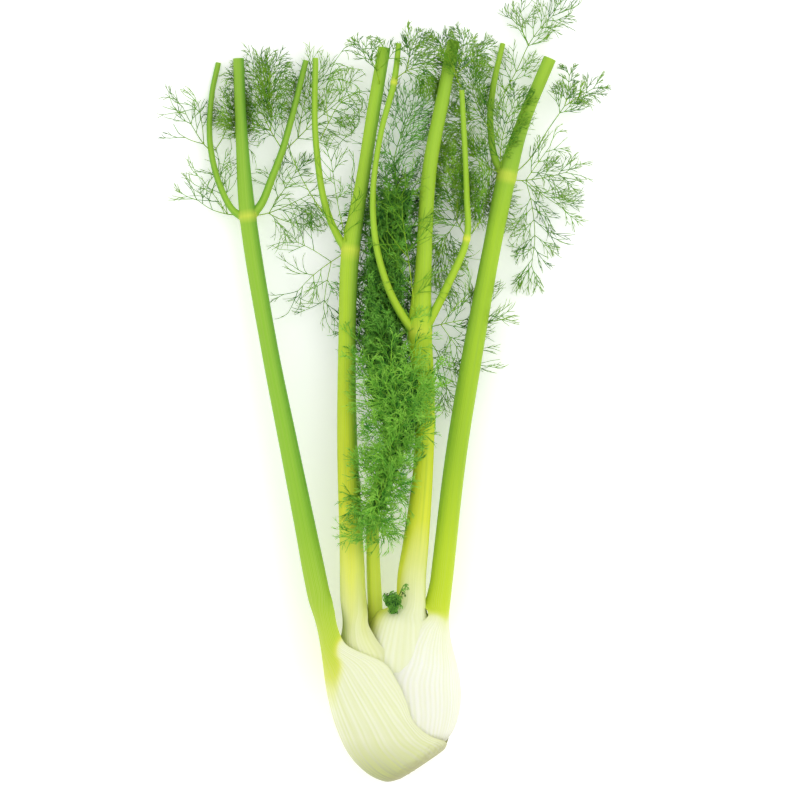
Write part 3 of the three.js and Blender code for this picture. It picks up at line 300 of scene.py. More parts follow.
# `middle` is the turn of a leaf's back, and `hand` the way its turns run. It has so many `ribs` on each
# side. Row by row up its base, `front` and `under` are the degrees from its back to its margins, and
# `fan` those by which its ribs crowd to the front. Its front margin is pressed in by `sink`. `base` has
# rings as the root plate's, some with a middle height of their own, and `stalk` and `branches` have
# stations: x, y, z, radius.
#
# `colours` go by height, `inner` is the stalk's darker side, and `furrows` says how strongly they show.
# Each of `bands` is a strip along the leaf: where it lies, how wide it is, and how much higher up its
# colour is taken from. Outside `green_half`, the strip by height along a leaf's back, colours are taken
# `pale` lower down. All these shifts are gone above the heights of `fade`.
LEAVES = {
    "outer_left": {
        "middle": 0, "hand": 1, "ribs": 22,
        "front": [160, 156, 143, 118, 102, 98, 95, 90, 66, 73, 105, 166, 172],
        "under": [160, 158, 154, 148, 140, 129, 112, 90, 66, 60, 78, 150, 168],
        "fan": [0, 4, 10, 18, 22, 17, 11, 5, 0, 0, 0, 0, 0],
        "base": [
            (3, -50.9, 31.8, -31.8, 12), (-5.5, -52.3, 34, -28.5, 16.5), (-17, -47, 36.5, -24.5, 21.5),
            (-28, -35.5, 39, -18.5, 25.5), (-35.5, -20, 41, -10, 28.2), (-40, -5, 41.5, 1, 29.6),
            (-42.5, 8, 38, 13, 29.8), (-44, 20, 28, 28, 28), (-45.5, 31, 12, 42, 23.5),
            (-47.5, 42, -8, 53, 17.5, 28.4), (-49.5, 51, -24, 58, 11.5, 28),
            (-52.6, 61, -39, 65, 7.2, 27.6), (-56, 73, -44, 76, 5.6, 27),
        ],
        "stalk": [
            (-39, 38, 29, 4.6), (-43.4, 50, 28, 7), (-48.4, 72, 27, 7.1), (-55.4, 107, 25, 6.5),
            (-66.6, 162, 22, 5.8), (-77.8, 218, 18, 5.3), (-91, 298, 14, 5.2), (-95, 350, 13, 3.8),
            (-97, 397, 12, 3.4),
        ],
        "branches": [
            [(-91, 297, 14, 2.4), (-100, 302, 13, 2), (-109, 319, 11, 1.9), (-115, 345, 7, 1.8),
             (-114, 375, 4, 1.7), (-110, 395, 1.8, 1.7)],
            [(-91, 297, 14, 2.6), (-83, 306, 13, 2.4), (-76, 323, 12, 2.3), (-69, 342, 11, 2.1),
             (-55, 396, 8, 1.8)],
        ],
        "inner": "#62a634", "furrows": 0.42, "fade": (34, 48), "bands": [],
        "pale": 40, "green_half": ([2, 14, 27, 40], [0.28, 0.4, 0.56, 1]),
        "colours": [
            # The lowest stops, olive-grey towards the root, are painted shade where the bulb's underside
            # turns away from the light.
            (-52, "#989d6c"), (-45, "#b4b989"), (-36, "#d0d4a8"), (-24, "#e8ebc9"), (-8, "#eff3d2"),
            (4, "#e9eea2"), (13, "#d8e158"), (22, "#c9da3a"), (33, "#bcd630"), (60, "#a2c934"),
            (110, "#92c336"), (200, "#8fc33a"), (280, "#94c43a"), (330, "#90c03a"), (400, "#8ebc3c"),
        ],
    },
    "outer_right": {
        "middle": math.pi, "hand": -1, "ribs": 20,
        "front": [100, 100, 100, 98, 98, 98, 92, 89, 86, 92, 165, 170],
        "under": [80, 80, 80, 80, 84, 86, 84, 86, 88, 92, 165, 170],
        "sink": 1.7,
        "base": [
            (-3, -49, 30, -29.5, 13.6), (-18, -41, 34.5, -24, 19.6), (-28, -31, 38, -18, 24.1),
            (-34, -17, 40.5, -9, 26.8), (-38, -3, 41.5, 0, 28.2), (-38, 14, 41, 9, 28.3),
            (-34, 30, 39.4, 18.5, 27.6), (-26, 44, 37, 28, 24.6), (-12, 54, 34.8, 37.5, 20, 28.4),
            (4, 58, 34, 47, 14, 28), (14.5, 60, 34.2, 56, 9.4, 27.4), (22.3, 75, 35.9, 73, 6.6, 27),
        ],
        "stalk": [
            (27, 40, 28, 4.6), (26.8, 52, 27, 7.2), (29.3, 72, 27, 7), (38, 147, 25, 6.6),
            (48, 209, 23, 6.4), (61, 280, 20, 5.6), (70, 323, 18, 6), (80, 356, 16, 4.3),
            (97, 397, 13, 4),
        ],
        "branches": [
            [(70, 322, 18, 2.6), (63, 334, 16, 2.2), (60, 358, 12, 2), (62, 380, 7, 1.9),
             (68, 407, 1.7, 1.6)],
        ],
        "inner": "#8cbc3a", "furrows": 0.24, "fade": (40, 60), "bands": [(0.05, 0.2, -8), (0.9, 0.35, -14)],
        "colours": [
            (-50, "#cfd0aa"), (-38, "#e2e4c8"), (-25, "#efefe0"), (10, "#f3f5e6"), (36, "#eff2d4"),
            (44, "#e8edb8"), (49, "#d4e058"), (53, "#c6da30"), (60, "#c2d92c"), (90, "#bad62c"),
            (150, "#a0c62c"), (200, "#a4ca2e"), (290, "#a4cc30"), (340, "#94c03a"), (400, "#a0c83a"),
        ],
    },
    "heart": {
        "middle": math.pi / 2, "hand": 1, "ribs": 6,
        "stalk": [
            (-9, 20, 23, 3), (-11, 40, 23, 4.4), (-12, 60, 23, 4.4), (-13, 84, 24, 4.1),
            (-13, 110, 28, 3.6), (-9, 138, 34, 2.8),
        ],
        "branches": [],
        "inner": "#a0c23a", "furrows": 0.3, "fade": (0, 1), "bands": [],
        "colours": [(30, "#dfe7a0"), (50, "#d8e854"), (90, "#d6e84a"), (140, "#98c440")],
    },
    "inner_left": {
        "middle": 0, "hand": 1, "ribs": 16, "sink": 1.5,
        "front": [75, 75, 75, 80, 86, 93, 95, 106, 145, 165, 165],
        "under": [60, 60, 60, 70, 88, 99, 105, 115, 150, 165, 165],
        "base": [
            (-8, -34, 20, -26, 8), (-19, -26, 28, -16, 17), (-27, -14, 33, -8, 22.5),
            (-32, -1, 35, 3, 25), (-34, 12, 33, 16, 27), (-34.5, 24, 23, 30, 26.6),
            (-33.5, 34, 6, 42, 23.4, 28.8), (-32, 43, -7, 50, 17, 29.4), (-31.8, 52, -14, 56, 12, 30),
            (-32.3, 62, -16.8, 64, 8.8, 30.6), (-31.6, 76, -19, 76, 6.2, 31),
        ],
        "stalk": [
            (-24, 30, 30, 8), (-25, 48, 31, 8.6), (-26, 85, 31, 7.6), (-29, 159, 29, 6.3),
            (-29, 228, 27, 5.4), (-27, 276, 25, 5.7), (-20, 318, 24, 4.2), (-11, 374, 23, 4.1),
            (-6, 403, 22, 3.9),
        ],
        "branches": [
            [(-27, 274, 25, 2.8), (-35, 286, 24, 2.3), (-43, 306, 22, 2.1), (-49, 350, 18, 1.9),
             (-49, 397, 14, 1.8)],
        ],
        "inner": "#7cb43c", "furrows": 0.4, "fade": (85, 120), "bands": [(0.5, 0.15, 13), (0.88, 0.1, 14)],
        "colours": [
            (20, "#ecefca"), (48, "#e8edb4"), (66, "#e0e68c"), (84, "#e2e868"), (115, "#dce236"),
            (150, "#cad830"), (220, "#b2d22e"), (300, "#a8cf36"), (400, "#9cc83a"),
        ],
    },
    "inner_right": {
        "middle": math.pi / 2, "hand": 1, "ribs": 20,
        "base": [
            (6, -32, 16, -28, 6), (-8, -24, 22, -16, 14), (-17, -10, 29, -6, 19.5), (-22, 3, 32, 3, 23.5),
            (-24, 16, 31, 14, 26.6), (-22, 29, 30, 23, 26.5), (-17, 40, 27, 34, 24, 28.8),
            (-13, 49, 25, 43.5, 20, 29.4), (-8.5, 54, 21.6, 49.5, 15.5, 30),
            (-1.5, 58, 19.7, 56, 11.8, 31), (2, 66, 19, 66, 9.4, 32), (2.4, 78, 19.4, 78, 8, 33),
        ],
        "stalk": [
            (11.6, 34, 31, 9), (10.8, 52, 32, 9.2), (10.8, 73, 33, 8.9), (13.4, 95, 33, 8),
            (18, 141, 33, 6.2), (19, 184, 32, 6.2), (16, 227, 31, 7.4), (18, 262, 30, 5.2),
            (22, 327, 28, 4.5), (31, 375, 26, 4.1), (37, 407, 24, 3.8),
        ],
        "branches": [
            [(15, 225, 32, 3), (8, 232, 34, 2.6), (-3, 252, 37, 2.3), (-11, 280, 37, 2),
             (-13, 312, 35, 1.8), (-8, 350, 32, 1.7), (0, 381, 30, 1.9), (3, 405, 29, 1.6)],
            [(17, 225, 31, 3), (23, 235, 31, 2.7), (34, 257, 31, 2.5), (45, 284, 30, 2.1),
             (45, 312, 30, 1.8), (42, 376, 29, 1.6)],
        ],
        "inner": "#8cbc3a", "furrows": 0.28, "fade": (100, 150),
        "bands": [(-0.42, 0.19, 50), (0.5, 0.12, 20)],
        "colours": [
            (20, "#eef2d2"), (50, "#ebf0c8"), (66, "#e6ecb0"), (84, "#dde484"), (110, "#d8e03e"),
            (150, "#c8d82e"), (200, "#b6d42c"), (290, "#a8cf36"), (400, "#98c43a"),
        ],
    },
}


def unit(vector):
    """The vectors, each at a length of 1."""
    return vector / np.linalg.norm(vector, axis=-1, keepdims=True)


def gaps(points):
    """The distance from each point to the next."""
    return np.linalg.norm(np.diff(points, axis=0), axis=1)


def path_through(stations, step):
    """Points of x, y, z and radius about a step apart on a curve through the stations, and its tangents."""
    rows = np.asarray(stations, float)
    apart = gaps(rows[:, :3])
    knots = np.concatenate([[0], np.cumsum(apart**0.5)])
    slopes = np.gradient(rows, knots, axis=0)
    at = np.linspace(0, knots[-1], max(4, int(apart.sum() / step)))
    i = np.clip(np.searchsorted(knots, at, "right") - 1, 0, len(rows) - 2)
    span = (knots[i + 1] - knots[i])[:, None]
    f = (at - knots[i])[:, None] / span
    path = ((1 + 2 * f) * (1 - f) ** 2 * rows[i] + f * (1 - f) ** 2 * span * slopes[i]
            + f**2 * (3 - 2 * f) * rows[i + 1] + f**2 * (f - 1) * span * slopes[i + 1])
    return path, unit(np.gradient(path[:, :3], axis=0))


def ease(value, start, end):
    """0 before the start, 1 after the end, and a smooth rise between them."""
    f = np.clip((value - start) / (end - start), 0, 1)
    return f * f * (3 - 2 * f)


def collar_at(points):
    """How much of a joint's pale collar lies at each point, from 0 to 1."""
    apart = np.linalg.norm(points[..., None, :] - JOINTS[:, :3], axis=-1) - JOINTS[:, 3]
    return np.exp(-((np.maximum(0, apart) / COLLAR) ** 2)).max(axis=-1)


def swollen(path, radius):
    """The radius along a stalk's path, with the collars of its joints."""
    return radius + COLLAR_SWELL * collar_at(path[:, :3] + radius[:, None] * (0, 0, 1))


def sideways(along):
    """The level way to the left of each way along a stalk."""
    return unit(np.stack([-along[:, 1], along[:, 0], np.zeros(len(along))], axis=1))


def stalk_rings(stations):
    """A stalk as rings like a base's, and the way its cut end looks."""
    path, along = path_through(stations, STALK_STEP)
    radius = swollen(path, path[:, 3])[:, None]
    side = sideways(along)[:, :2] * radius
    return np.concatenate([path[:, :2] + side, path[:, :2] - side, radius, path[:, 2:3]], axis=1), along[-1]


def cut_off(rows, way):
    """Closes a stalk's end as a knife leaves it: a flat face with a slightly rounded rim."""
    last = rows[-1]
    middle = last.mean(axis=0)
    return rows + [middle + (last - middle) * share + way * ahead for share, ahead in CUT_RIM]


def leaf_skin(leaf, seed):
    """The skin of a leaf's base and stalk, with its ribs: rows of points, and named numbers for each."""
    rings, cut_way = stalk_rings(leaf["stalk"])
    if "base" in leaf:
        base = between(whole_rings(leaf["base"]), BASE_ROWS)
        share = np.linspace(0, 1, BASE_ROWS)
        height = (base[:, 1] + base[:, 3]) / 2
        stalk_height = (rings[:, 1] + rings[:, 3]) / 2
        stalk_there = np.stack([np.interp(height, stalk_height, column) for column in rings.T], axis=1)
        turned = ease(share, BLEND_FROM, 1)[:, None]
        base = base * (1 - turned) + stalk_there * turned
        rings = np.concatenate([base, rings[stalk_height > height[-1] + STALK_STEP / 2]])
    reach = np.full((len(rings), 2), float(MARGIN))
    closing = np.ones(len(rings))
    fan = np.zeros(len(rings))
    if "front" in leaf:
        reach[:BASE_ROWS] = between(np.stack([leaf["front"], leaf["under"]], axis=1), BASE_ROWS)
        closing[:BASE_ROWS] = ease(share, *CLOSING)
    if "fan" in leaf:
        fan[:BASE_ROWS] = between(np.array([leaf["fan"]]).T, BASE_ROWS)[:, 0]
    middles = np.stack([rings[:, 0] + rings[:, 2], rings[:, 1] + rings[:, 3]], axis=1) / 2
    heights = np.interp(np.concatenate([[0], np.cumsum(gaps(middles))]), *RIB_HEIGHTS)

    chance = np.random.default_rng(seed)
    ribs = leaf["ribs"]
    around = np.linspace(-1, 1, 2 * ribs * COLUMNS_PER_RIB + 1)
    strengths = chance.uniform(*RIB_STRENGTHS, 2 * ribs + 1)
    phase = around * ribs + RIB_WANDER * np.sin(around * RIB_WAVES + seed)
    crest = (0.5 + 0.5 * np.cos(2 * math.pi * phase)) ** RIB_SHARPNESS
    crest = crest * strengths[np.clip(np.round(phase + ribs).astype(int), 0, 2 * ribs)]
    crest *= 1 - np.abs(around) ** RIB_FADE
    across = np.linspace(1, -1, INNER_COLUMNS + 2)[1:-1]
    thick = SHEATH_BACK + (SHEATH_EDGE - SHEATH_BACK) * np.abs(across) ** 1.5

    rows = []
    for ring, (front, under), closed, height, fanned in zip(rings, reach, closing, heights, fan):
        width = math.hypot(ring[2] - ring[0], ring[3] - ring[1]) / 2

        def turn_at(value):
            degrees = np.where(value > 0, front, under) * value
            degrees += 4 * fanned * np.maximum(0, value * (1 - value))
            return leaf["middle"] + leaf["hand"] * np.radians(degrees)

        fullness = 2 + (FULLNESS - 2) * min(1, width / FULL_WIDTH)
        sunk = leaf.get("sink", 0) * (1 - closed) * ease(around, SINK_FROM, 1)
        skin = on_ring(ring, turn_at(around), height * crest - sunk, fullness)
        lining = on_ring(ring, turn_at(across), -np.minimum(thick, SHEATH_SHARE * width), fullness)
        chord = skin[-1] * (1 + across[:, None]) / 2 + skin[0] * (1 - across[:, None]) / 2
        rows.append(np.concatenate([skin, lining * (1 - closed) + chord * closed]))
    rib = np.concatenate([crest, np.zeros(INNER_COLUMNS)])
    rib = [rib] * len(rows) + [0 * rib] * len(CUT_RIM)
    capped = cut_off(rows, cut_way)
    return capped, np.concatenate(rib), np.tile(np.concatenate([around, across]), len(capped))


def branch_skin(stations):
    """The skin of a side branch, flared where it leaves its stalk."""
    path, along = path_through(stations, BRANCH_STEP)
    turn = np.linspace(0, 2 * math.pi, BRANCH_COLUMNS, endpoint=False)
    from_root = np.linalg.norm(path[:, :3] - path[0, :3], axis=1)
    radius = swollen(path, path[:, 3] * (1 + BRANCH_FLARE * np.exp(-from_root / BRANCH_FLARE_RUN)))
    side = sideways(along)
    up = np.cross(along, side)
    crest = 0.5 + 0.5 * np.cos(BRANCH_RIBS * turn)
    out = radius[:, None] + BRANCH_RELIEF * crest
    rows = path[:, None, :3] + out[..., None] * (side[:, None] * np.cos(turn)[:, None]
                                                 + up[:, None] * np.sin(turn)[:, None])
    rows[..., 2] = np.maximum(rows[..., 2], 0)
    capped = cut_off(list(rows), along[-1])
    rib = [crest * BRANCH_CREST] * len(rows) + [0 * crest] * len(CUT_RIM)
    return capped, np.concatenate(rib), np.tile(turn / math.pi - 1, len(capped))


def colour_height(leaf, points, around):
    """The height whose colour each point has: a base is palest away from its back, a stalk is banded."""
    height = points[:, 1]
    gain = 0 * height
    for at, wide, more in leaf["bands"]:
        gain += more * np.exp(-(((around - at) / wide) ** 2))
    if "green_half" in leaf:
        half = np.interp(height, *leaf["green_half"])
        gain -= leaf["pale"] * ease(np.abs(around), half - GREEN_BLUR[0], half + GREEN_BLUR[1])
    seen = height + gain * (1 - ease(height, *leaf["fade"]))
    return np.maximum(seen, np.minimum(height, WHITEST))


def join_skins(skins):
    """One mesh of several closed skins, with the finish of each face: 0 for flesh and 1 for the cut end."""
    points, faces, ribs, turns, finish = [], [], [], [], []
    for rows, rib, turn in skins:
        skin, skin_faces = closed_loft(rows)
        start = sum(len(p) for p in points)
        points.append(skin)
        faces += [[i + start for i in face] for face in skin_faces]
        ribs.append(rib)
        turns.append(turn)
        cut = CUT_ROWS * len(rows[0])
        finish += [0] * (len(skin_faces) - 2 - cut) + [1] * cut + [0, 1]
    return np.concatenate(points), faces, np.concatenate(ribs), np.concatenate(turns), finish


# Crisp flesh under a thin waxed skin, grown not made: satin, faintly translucent where it is white,
# streaked along its length with darker green, and pale on the crest of each rib and at the joints.
FURROW_TINT = "#d3dc7c"
STREAK_TINT = "#7fae34"
COLLAR_TINT = "#eaea58"
# Greyed olive near the root's cut: partly real browning of the cut rim, partly painted shade where the bulb
# rounds down towards the root.
CUT_BROWN_AND_SHADE = "#a9a77c"
STREAKS_AROUND = 14  # streaks on each side of a stalk
STREAK_LENGTH = 90
CUT_SHADE_PATCH = 3
FLESH_CELL = 1.2
FLESH_RELIEF = 0.1
CUT_WAY = (0.553, -0.833, 0)  # the way the root's cut faces
CUT_DISTANCE = 44  # how far the cut is from the origin, that way
CUT_SHADE_DEPTH = 9  # how far up from the cut the flesh is greyed, partly by real browning and partly by painted shade
CUT_SHADE_UNEVEN = 8  # and how unevenly


def leaf_flesh(name, leaf, seed):
    """The flesh of one leaf, coloured by height, darker on the inner side of its stalk."""
    made, tree, surface = new_material(name)
    place = add_node(tree, "TexCoord", output="Object")
    up = add_node(tree, "SeparateXYZ", {0: place}, "Y")
    height, rib, around, collar = (
        add_node(tree, "Attribute", output="Fac", attribute_name=each)
        for each in ("height", "rib", "around", "collar")
    )
    colours = leaf["colours"]
    low, high = colours[0][0], colours[-1][0]
    height_share = add_node(tree, "MapRange", {0: height, 1: low, 2: high})
    coloured = add_node(tree, "ValToRGB", {"Fac": height_share})
    ramp = coloured.node.color_ramp
    ramp.elements[0].color = linear(colours[0][1])
    ramp.elements[1].color = linear(colours[-1][1])
    for at, code in colours[1:-1]:
        ramp.elements.new((at - low) / (high - low)).color = linear(code)

    # Streaks run along the stalk, and grey patches spread from the root's cut: partly the real browning of
    # the cut rim, partly painted shade where the bulb rounds down towards the root.
    round_streaks = add_node(tree, "Math", {0: around, 1: STREAKS_AROUND}, operation="MULTIPLY")
    along_streaks = add_node(tree, "Math", {0: up, 1: 1 / (STREAK_LENGTH * MM)}, operation="MULTIPLY")
    streak_place = add_node(tree, "CombineXYZ", {0: round_streaks, 1: along_streaks, 2: seed})
    streaks = add_node(tree, "TexNoise", {
        "Vector": streak_place, "Scale": 1, "Detail": 5, "Roughness": 0.65,
    })
    patches = add_node(tree, "TexNoise", {"Vector": place, "Scale": 1 / (CUT_SHADE_PATCH * MM), "Detail": 5})
    to_cut = add_node(tree, "VectorMath", {0: place, 1: CUT_WAY}, "Value", operation="DOT_PRODUCT")
    to_patch = add_node(tree, "Math", {
        0: patches, 1: CUT_SHADE_UNEVEN * MM, 2: to_cut,
    }, operation="MULTIPLY_ADD")
    # This greying near the cut is partly real browning and partly painted shade on the bulb's rounded lower
    # edge.
    cut_shade_at = CUT_DISTANCE + CUT_SHADE_UNEVEN / 2
    cut_brown_and_shade = add_node(tree, "MapRange", {
        0: to_patch, 1: (cut_shade_at - CUT_SHADE_DEPTH) * MM, 2: cut_shade_at * MM, 3: 0, 4: 0.75,
    }, interpolation_type="SMOOTHSTEP")

    # Each share goes from its third number to its fourth, as its value goes from the first to the second.
    from_back = add_node(tree, "Math", {0: around}, operation="ABSOLUTE")
    inner_side, on_stalk, streaky, furrow, in_bulb, faint = (
        add_node(tree, "MapRange", {0: value, 1: start, 2: end, 3: first, 4: last})
        for value, start, end, first, last in [
            (from_back, 0.56, 0.82, 0, 0.75),
            (up, 50 * MM, 130 * MM, 0, 1),
            (streaks, 0.45, 0.75, 0, 0.4),
            (rib, 0, 0.6, leaf["furrows"], 0),
            (up, 40 * MM, 100 * MM, 1, 0.3),
            (streaks, 0.3, 0.65, 0.1, 1.3),
        ]
    )
    for tint, share, *shares in [
        (leaf["inner"], inner_side, on_stalk), (STREAK_TINT, streaky, on_stalk),
        (FURROW_TINT, furrow, in_bulb, faint), (CUT_BROWN_AND_SHADE, cut_brown_and_shade), (COLLAR_TINT, collar),
    ]:
        for more in shares:
            share = add_node(tree, "Math", {0: share, 1: more}, operation="MULTIPLY")
        coloured = add_node(tree, "Mix", {0: share, 6: coloured, 7: linear(tint)}, 2, data_type="RGBA")
    cells = add_node(tree, "TexNoise", {"Vector": place, "Scale": 1 / (FLESH_CELL * MM), "Detail": 3})
    bump = add_node(tree, "Bump", {"Height": cells, "Distance": FLESH_RELIEF * MM, "Strength": 0.3})
    skin = add_node(tree, "BsdfPrincipled", {
        "Base Color": coloured, "Roughness": 0.45, "IOR": 1.35, "Specular IOR Level": 0.25, "Normal": bump,
        "Subsurface Weight": 0.12, "Subsurface Radius": (0.9, 1.0, 0.4), "Subsurface Scale": 2.5 * MM,
    })
    tree.links.new(skin, surface)
    return made


# Cut pith: the spongy white-green inside of a stalk, matt and finely pitted.
PITH = "#dfe7b4"
PITH_PITS = "#aebf62"
PIT_SPACING = 0.7
cut_pith, tree, surface = new_material("cut_pith")
place = add_node(tree, "TexCoord", output="Object")
pits = add_node(tree, "TexVoronoi", {"Vector": place, "Scale": 1 / (PIT_SPACING * MM)}, "Distance")
shade = add_node(tree, "MapRange", {0: pits, 1: 0, 2: 0.5, 3: 0.5, 4: 0})
pith = add_node(tree, "Mix", {0: shade, 6: linear(PITH), 7: linear(PITH_PITS)}, 2, data_type="RGBA")
skin = add_node(tree, "BsdfPrincipled", {"Base Color": pith, "Roughness": 0.7, "IOR": 1.4})
tree.links.new(skin, surface)

for seed, (name, leaf) in enumerate(LEAVES.items(), start=3):
    skins = [leaf_skin(leaf, seed)] + [branch_skin(branch) for branch in leaf["branches"]]
    points, faces, rib, around, finish = join_skins(skins)
    flesh = leaf_flesh(f"{name}_flesh", leaf, seed)
    values = {"rib": rib, "around": around, "collar": collar_at(points),
              "height": colour_height(leaf, points, around)}
    make_piece(f"{name}_grown_leaf", points, faces, [flesh, cut_pith], f"{name}_leaf",
               values, finish, crease=35)

# ---- The sprays of leaf threads ----
# The leaf blades are split into soft threads well under a millimetre thick. From each joint a few ribs
# leave the stalk, each rib carries pairs of side ribs, and these fork again and again. A thread that
# meets a stalk lies against it.
RIB_RADII = {  # of ribs with so many stations, from the stalk to the tip
    3: (0.7, 0.6, 0.5), 4: (0.9, 0.8, 0.6, 0.5), 5: (0.9, 0.8, 0.7, 0.6, 0.5),
    6: (0.8, 0.8, 0.7, 0.7, 0.6, 0.5),
}
RIB_RADIUS = 0.5  # radius that a rib is made with, for each millimetre of these
RIB_STEP = 2.5
THREAD_RADIUS = (0, 0.33, 0.28, 0.25)  # at the root of a side rib, a thread and a prong
THREAD_TAPER = 0.35  # share of that radius that is gone at the tip
THREAD_STEPS = (0, 5, 3, 2)  # rows of faces along each
TIP_STEP = 0.25  # how much further towards the colour of the tips each ends
FORK_GAP = (7.5, 6.5, 14)  # between forks along a rib, a side rib and a thread
FORK_LEAN = (0.75, 0.5, 0.4)  # radians between each and what it forks from
END_LEAN = 0.55  # and the share of that in the pair at the end
FORK_SHARE = (0, 0.8, 0.8)  # length of a thread, or a prong, for that of what it forks from
FORK_ROLL = (0.4, 0.5, 0.6)  # how far each tips out of the flat plane, in radians
VARIED = (0.7, 1.3)  # how far lengths and leans differ from the usual
CURL = 0.55  # the most that a rib's side ribs all bend one way over their length
WAVER = (0, 0.2, 0.25, 0.3)  # and how much each differs from the rest
UPWARD = (0.03, 0.02, 1.0)  # nearly straight up, which no thread points exactly along
ROOT_HOLD = 6  # the stretch of a rib that stays in its stalk
STALK_NEAR = 15  # how far from a thread a stalk is looked for
STALK_CLEARANCE = 0.45
DIP_RUN = 7  # distance to the side of a stalk over which a thread dips to pass under it
TABLE_CLEARANCE = 0.4
LEAF_MOTTLE = 5
IN_FRONT = (  # sprays that lie in front of the stalks that they meet
    "inner_left_spray_middle", "inner_left_tip_tuft", "inner_right_spray_front", "inner_right_branch_tip",
    "outer_right_spray_front",
)
BARE = {"outer_right_thin_branch": 42}  # the bare first stretch of a rib that is longer than this
CURLED = {"inner_left_branch_spray_east": 2.4, "outer_left_branch_spray_east": 1.4}  # CURL of the curliest

